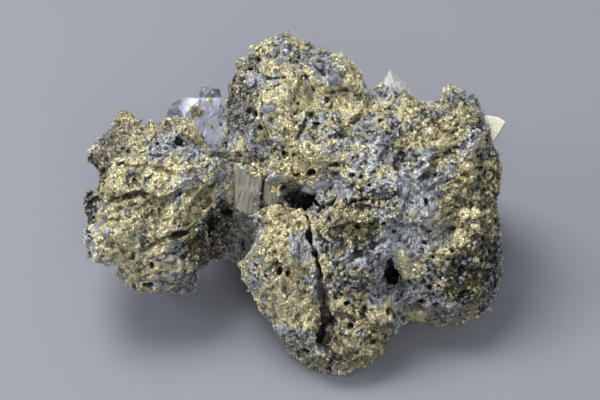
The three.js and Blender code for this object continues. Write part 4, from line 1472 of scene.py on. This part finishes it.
def grit():
    # fine broken grain: a height for bumps, pits that take the asked share of the cells, and the gaps between
    # cells; the materials darken the pits as painted shade and the gaps as grime and painted shade
    group, given, place, scale, out = newGroup(
        "grit", {"Size": 0.001, "Share": 0.2, "Seed": 0.0},
        {"Height": "Float", "Pit": "Float", "Gap": "Float"})
    moved = seeded(group, given, place)
    warp = node(group, "TexNoise", {"Vector": moved, "Scale": scale, "Detail": 2.0, "Roughness": 0.6})
    bend = scaled(group, centred(group, warp.outputs["Color"]), calc(group, "MULTIPLY", given["Size"], 0.9))
    bent = {"Vector": vectors(group, "ADD", moved, bend), "Scale": scale}
    cells = node(group, "TexVoronoi", {**bent, "Randomness": 1.0}).outputs
    edges = node(group, "TexVoronoi", {**bent, "Randomness": 1.0}, feature="DISTANCE_TO_EDGE").outputs
    fine = node(group, "TexNoise", {**bent, "Detail": 4.0, "Roughness": 0.7}).outputs["Fac"]
    parts = node(group, "SeparateColor", {"Color": cells["Color"]}).outputs
    chosen = calc(group, "LESS_THAN", parts["Red"], given["Share"])
    pit = calc(group, "MULTIPLY", ranged(group, cells["Distance"], 0.5, 0.3), chosen)
    gap = ranged(group, edges["Distance"], 0.17, 0.0)
    height = calc(group, "SUBTRACT", calc(group, "MULTIPLY_ADD", gap, -0.8, fine), pit)
    feed(group, out, {"Height": height, "Pit": pit, "Gap": gap})
    return group


groups = {"facets": crystalFacets(), "mottle": mottle(), "grit": grit()}


def placed(tree, group, **values):
    made = tree.nodes.new("ShaderNodeGroup")
    made.node_tree = groups[group]
    feed(tree, made, {name.capitalize(): value for name, value in values.items()})
    return made.outputs


def newMaterial(name):
    material = bpy.data.materials.new(name)
    material.use_nodes = True
    return material, material.node_tree, material.node_tree.nodes["Principled BSDF"]


ore = {
    "brassBright": (0.96, 0.885, 0.58),
    "brassDull": (0.19, 0.17, 0.09),
    "greyBright": (0.62, 0.648, 0.70),
    "greyDull": (0.035, 0.037, 0.042),
    "tan": (0.53, 0.48, 0.36),
    "tanDark": (0.11, 0.10, 0.08),
    "dirtAndPaintedShade": (0.02, 0.019, 0.017),
    "dirtAndShadeMost": 0.93,  # how much of the skin's own colour the grime and painted shade in the deepest places hide
    "ridge": (0.22, -0.2),  # mm that a point lies in a groove or stands out on a ridge, for painted shade in grooves and painted light on ridges
    "sunk": (0.15, 1.1),  # mm below its wider surroundings, from none to full grime and painted shade
    "deep": (-1.1, -2.9),  # mm below the broad shape, from none to full grime and painted shade
    "metal": (0.65, 0.9),  # how metallic the grey and the brass are
    "rough": (0.29, 0.25),  # how rough they are
}


def oreMaterial():
    material, tree, shader = newMaterial("chalcopyrite_ore")
    large = placed(tree, "facets", size=0.0013, tilt=0.8, seed=0.1)
    small = placed(tree, "facets", size=0.0007, tilt=1.1, seed=0.7)
    blotch = placed(tree, "mottle", size=0.005, contrast=2.6, seed=1.0)["Share"]
    fine = placed(tree, "mottle", size=0.0011, contrast=3.2, seed=2.0)["Share"]
    tiny = placed(tree, "mottle", size=0.0005, contrast=3.0, seed=2.5)["Share"]
    tanShare, height = attribute(tree, "tan"), attribute(tree, "height")
    # where it is brass: ragged edges, and single facets of the other kind
    edge = calc(tree, "MULTIPLY_ADD", tiny, 0.5, calc(tree, "MULTIPLY", fine, 0.5))
    edge = calc(tree, "SUBTRACT", edge, 0.5)
    fleck = calc(tree, "MULTIPLY_ADD", large["Tone"], 0.65, calc(tree, "MULTIPLY", small["Tone"], 0.45))
    brass = calc(tree, "MULTIPLY_ADD", edge, 0.9, attribute(tree, "brass"))
    brass = ranged(tree, calc(tree, "ADD", brass, calc(tree, "SUBTRACT", fleck, 0.55)), -0.06, 0.06)
    pitShare = calc(tree, "MULTIPLY_ADD", tanShare, 0.3, ranged(tree, brass, 0, 1, 0.09, 0.05))
    grain = placed(tree, "grit", size=0.0009, share=pitShare, seed=0.2)
    # how light it is: the region's tone with its painted light and shade, painted light on ridges, blotches,
    # and height, which paints shade below the broad shape and light where the skin stands out
    ridge = ranged(tree, attribute(tree, "groove"), *ore["ridge"])
    lit = calc(tree, "MULTIPLY_ADD", attribute(tree, "tone"), 0.55, calc(tree, "MULTIPLY", ridge, 0.4))
    lit = calc(tree, "ADD", lit, calc(tree, "MULTIPLY_ADD", blotch, 0.5, -0.02))
    lit = calc(tree, "ADD", lit, ranged(tree, height, -0.9, 0.7, -0.25, 0.2))
    brassTone = calc(tree, "SUBTRACT", calc(tree, "MULTIPLY_ADD", small["Tone"], 0.3, lit), 0.1)
    brassTone = calc(tree, "MULTIPLY_ADD", tiny, 0.3, brassTone, clamp=True)
    greyTone = calc(tree, "MULTIPLY_ADD", large["Tone"], 0.6, calc(tree, "MULTIPLY_ADD", blotch, 0.3, lit))
    greyTone = calc(tree, "MULTIPLY_ADD", tiny, 0.35, calc(tree, "SUBTRACT", greyTone, 0.43), clamp=True)
    brassColour = mixed(tree, brassTone, ore["brassDull"], ore["brassBright"])
    greyColour = mixed(tree, greyTone, ore["greyDull"], ore["greyBright"])
    tan = calc(tree, "MULTIPLY", tanShare, calc(tree, "SUBTRACT", 1.0, brass))
    tan = ranged(tree, calc(tree, "MULTIPLY_ADD", edge, 0.9, tan), 0.28, 0.42)
    colour = mixed(tree, brass, greyColour, brassColour)
    colour = mixed(tree, tan, colour, mixed(tree, fine, ore["tanDark"], ore["tan"]))
    # grime and painted shade in the grooves, hollows, depths, pits and the gaps between grains
    sunk = calc(tree, "MULTIPLY_ADD", ranged(tree, attribute(tree, "hollow"), *ore["sunk"]), 0.8, -0.05)
    dirtAndPaintedShade = calc(tree, "MULTIPLY_ADD", calc(tree, "SUBTRACT", 1.0, ridge), 1.3, -0.7)
    gaps = calc(tree, "MULTIPLY", grain["Gap"], ranged(tree, fine, 0.2, 0.9, 0.15, 0.85))
    for more in (sunk, ranged(tree, height, *ore["deep"]), grain["Pit"], gaps):
        dirtAndPaintedShade = calc(tree, "MAXIMUM", dirtAndPaintedShade, more)
    dirtAndPaintedShade = calc(tree, "MULTIPLY", dirtAndPaintedShade, ore["dirtAndShadeMost"], clamp=True)
    bareAndUnshaded = calc(tree, "MULTIPLY", calc(tree, "SUBTRACT", 1.0, tan), calc(tree, "SUBTRACT", 1.0, dirtAndPaintedShade))
    rough = calc(tree, "MULTIPLY_ADD", large["Tone"], 0.24, ranged(tree, brass, 0, 1, *ore["rough"]))
    facing = twoNormals(tree, large["Normal"], small["Normal"])
    feed(tree, shader, {
        "Base Color": mixed(tree, dirtAndPaintedShade, colour, ore["dirtAndPaintedShade"]),
        "Metallic": calc(tree, "MULTIPLY", bareAndUnshaded, ranged(tree, brass, 0, 1, *ore["metal"])),
        "Roughness": calc(tree, "ADD", rough, calc(tree, "MULTIPLY", calc(tree, "MAXIMUM", tan, dirtAndPaintedShade), 0.3)),
        "Specular IOR Level": 0.3,
        "Normal": bumped(tree, grain["Height"], 0.9, 0.0004, Normal=facing),
    })
    return material


def grainMaterial(name, dull, bright, rough):
    material, tree, shader = newMaterial(name)
    small = placed(tree, "facets", size=0.0007, tilt=0.6, seed=0.3)
    grain = placed(tree, "grit", size=0.0008, share=0.07, seed=0.4)
    tone = calc(tree, "MULTIPLY", attribute(tree, "grainTone"), 0.7)
    tone = calc(tree, "MULTIPLY_ADD", small["Tone"], 0.4, tone)
    # darker in the grit's pits: painted shade
    tone = calc(tree, "SUBTRACT", tone, grain["Pit"], clamp=True)
    feed(tree, shader, {
        "Base Color": mixed(tree, tone, dull, bright),
        "Metallic": 0.8,
        "Roughness": ranged(tree, small["Tone"], 0, 1, rough - 0.08, rough + 0.14),
        "Normal": bumped(tree, grain["Height"], 0.8, 0.0003, Normal=small["Normal"]),
    })
    return material


finish = {
    "galena": {"light": (0.53, 0.55, 0.67), "dark": (0.12, 0.125, 0.155)},
    "pebble": {"light": (0.27, 0.285, 0.33), "dark": (0.08, 0.085, 0.10)},
    "pale": {"light": (0.42, 0.42, 0.40), "dark": (0.2, 0.2, 0.19)},
    "ochre": {"light": (0.42, 0.38, 0.26), "dark": (0.2, 0.18, 0.115)},
    "siderite": {"light": (0.33, 0.31, 0.255), "dark": (0.12, 0.115, 0.093)},
    "quartz": {"body": (0.84, 0.85, 0.87), "ior": 1.54},
    "calcite": {"light": (0.82, 0.79, 0.69), "dark": (0.40, 0.36, 0.27)},
}


def galenaMaterial(name, plan):
    material, tree, shader = newMaterial(name)
    facets = placed(tree, "facets", size=0.0013, tilt=0.22, seed=0.5)
    fine = placed(tree, "facets", size=0.0005, tilt=0.3, seed=0.9)
    blotch = placed(tree, "mottle", size=0.004, contrast=2.2, seed=3.0)["Share"]
    # lighter on ridges and darker in grooves, and lighter or darker by the across values: painted light and
    # painted shade
    ridge = ranged(tree, attribute(tree, "groove"), 0.07, -0.07, -0.1, 0.6)
    tone = calc(tree, "MULTIPLY_ADD", blotch, 0.35, calc(tree, "MULTIPLY_ADD", fine["Tone"], 0.25, ridge))
    tone = calc(tree, "MULTIPLY_ADD", attribute(tree, "across"), 0.55, tone, clamp=True)
    feed(tree, shader, {
        "Base Color": mixed(tree, tone, plan["dark"], plan["light"]),
        "Metallic": 0.35,
        "Roughness": ranged(tree, fine["Tone"], 0, 1, 0.5, 0.7),
        "Normal": twoNormals(tree, facets["Normal"], fine["Normal"]),
    })
    return material


def sideriteMaterial(name, plan):
    material, tree, shader = newMaterial(name)
    blotch = placed(tree, "mottle", size=0.003, contrast=2.2, seed=4.0)["Share"]
    fine = placed(tree, "mottle", size=0.0006, contrast=2.5, seed=5.0)["Share"]
    streak = ranged(tree, attribute(tree, "streak"), -0.6, 0.6)
    tone = calc(tree, "MULTIPLY_ADD", blotch, 0.35, calc(tree, "MULTIPLY", streak, 0.55))
    # lighter on the left of the columns and darker on their right: painted light and shade
    tone = calc(tree, "ADD", tone, ranged(tree, attribute(tree, "across"), -1, 1, 0.3, -0.5))
    # lighter on ridges and darker in grooves: painted light and shade
    ridge = ranged(tree, attribute(tree, "groove"), 0.08, -0.08, -0.35, 0.2)
    tone = calc(tree, "ADD", tone, ridge, clamp=True)
    feed(tree, shader, {
        "Base Color": mixed(tree, tone, plan["dark"], plan["light"]),
        "Roughness": ranged(tree, fine, 0, 1, 0.48, 0.7),
        "Normal": bumped(tree, fine, 0.35, 0.0002),
    })
    return material


def quartzMaterial(name, plan):
    material, tree, shader = newMaterial(name)
    cloud = placed(tree, "mottle", size=0.0025, contrast=2.0, seed=6.0)["Share"]
    feed(tree, shader, {
        "Base Color": plan["body"],
        "IOR": plan["ior"],
        "Transmission Weight": 0.7,
        "Roughness": ranged(tree, cloud, 0, 1, 0.18, 0.5),
        "Normal": bumped(tree, cloud, 0.3, 0.0003),
    })
    return material


def stoneMaterial(name, plan):
    material, tree, shader = newMaterial(name)
    blotch = placed(tree, "mottle", size=0.002, contrast=2.0, seed=7.0)["Share"]
    fine = placed(tree, "mottle", size=0.0005, contrast=2.6, seed=8.0)["Share"]
    tone = calc(tree, "MULTIPLY_ADD", fine, 0.35, calc(tree, "MULTIPLY", blotch, 0.4))
    # lighter on ridges and darker in grooves: painted light and shade
    ridge = ranged(tree, attribute(tree, "groove"), 0.06, -0.06, -0.2, 0.5)
    tone = calc(tree, "ADD", tone, ridge, clamp=True)
    feed(tree, shader, {
        "Base Color": mixed(tree, tone, plan["dark"], plan["light"]),
        "Roughness": 0.6,
        "Normal": bumped(tree, fine, 0.4, 0.0002),
    })
    return material


for material, pieces in (
    (oreMaterial(), [*lumps, setInPieces["brass"]]),
    (grainMaterial("brass_grains", ore["brassDull"], ore["brassBright"], 0.40),
     [brassGrains, crustPieces["brass"]]),
    (grainMaterial("galena_grains", ore["greyDull"], ore["greyBright"], 0.44),
     [greyGrains, crustPieces["grey"]]),
    (galenaMaterial("galena_faces", finish["galena"]), [crystalPieces["galena_crystal_pair"]]),
    (sideriteMaterial("siderite_columns", finish["siderite"]),
     [crystalPieces["siderite_column"], crystalPieces["siderite_small_column"]]),
    (quartzMaterial("cloudy_quartz", finish["quartz"]),
     [crystalPieces["quartz_crystals"], setInPieces["clear"]]),
    (stoneMaterial("calcite_cream", finish["calcite"]), [crystalPieces["calcite_chip"]]),
    (galenaMaterial("grey_pebbles", finish["pebble"]), [setInPieces["grey"]]),
    (stoneMaterial("pale_ground", finish["pale"]), [setInPieces["pale"]]),
    (stoneMaterial("ochre_lumps", finish["ochre"]), [setInPieces["tan"]]),
):
    for piece in pieces:
        piece.data.materials.append(material)
print("materials made")

# stage: a plain pale floor, soft light and the camera
stage = {
    "floor": (0.215, 0.226, 0.258),
    "floorHalf": 3.0,  # metres from its middle to its edges
    "sky": (0.96, 0.98, 1.0),
    "skyStrength": 0.40,
    "lights": {  # where each stands and its size in metres, its power in watts and its colour
        "overhead": ((-0.30, 0.16, 0.89), 0.5, 10.0, (1.0, 0.99, 0.98)),
        "fill": ((0.10, -0.90, 0.70), 0.4, 4.5, (0.97, 0.98, 1.0)),
        "side": ((-0.75, -0.25, 0.50), 0.4, 2.6, (1.0, 1.0, 1.0)),
    },
    "aim": (0, 0, 0.03),  # where the lights point
}


def placeOnStage(name, data, at=(0, 0, 0), way=None):
    # an object at that place, looking along way
    holder = bpy.data.objects.new(name, data)
    holder.location = at
    if way is not None:
        holder.rotation_euler = Vector(way).to_track_quat("-Z", "Y").to_euler()
    bpy.context.scene.collection.objects.link(holder)
    return holder


def setStage():
    mesh = bpy.data.meshes.new("tabletop")
    half = stage["floorHalf"]
    corners = [(-half, -half, 0), (half, -half, 0), (half, half, 0), (-half, half, 0)]
    mesh.from_pydata(corners, [], [(0, 1, 2, 3)])
    floor = placeOnStage("tabletop", mesh)
    material, tree, shader = newMaterial("pale_cloth")
    feed(tree, shader, {"Base Color": stage["floor"], "Roughness": 0.95, "Specular IOR Level": 0.15})
    mesh.materials.append(material)
    world = bpy.data.worlds.new("studio")
    world.use_nodes = True
    sky = world.node_tree.nodes["Background"]
    feed(world.node_tree, sky, {"Color": stage["sky"], "Strength": stage["skyStrength"]})
    bpy.context.scene.world = world
    for name, (at, size, power, colour) in stage["lights"].items():
        light = bpy.data.lights.new(name, "AREA")
        light.size = size
        light.energy = power
        light.color = colour
        placeOnStage(name, light, at, Vector(stage["aim"]) - Vector(at))


def setCamera():
    data = bpy.data.cameras.new("camera")
    data.sensor_width = view["sensor"]
    data.lens = view["sensor"] * view["distance"] / (view["frame"][0] * view["pixel"])
    data.clip_start = 0.05
    data.clip_end = 20
    bpy.context.scene.camera = placeOnStage("camera", data, Vector(lens) * mm, -towards)


setStage()
setCamera()
bpy.context.scene.view_settings.view_transform = "Standard"
pieces = [one for one in bpy.context.scene.objects if one.type == "MESH" and one.name not in nodes]
counts = [sum(len(face.vertices) - 2 for face in one.data.polygons) for one in pieces]
print("stage set;", sum(counts), "triangles in all, at most", max(counts), "in one piece")
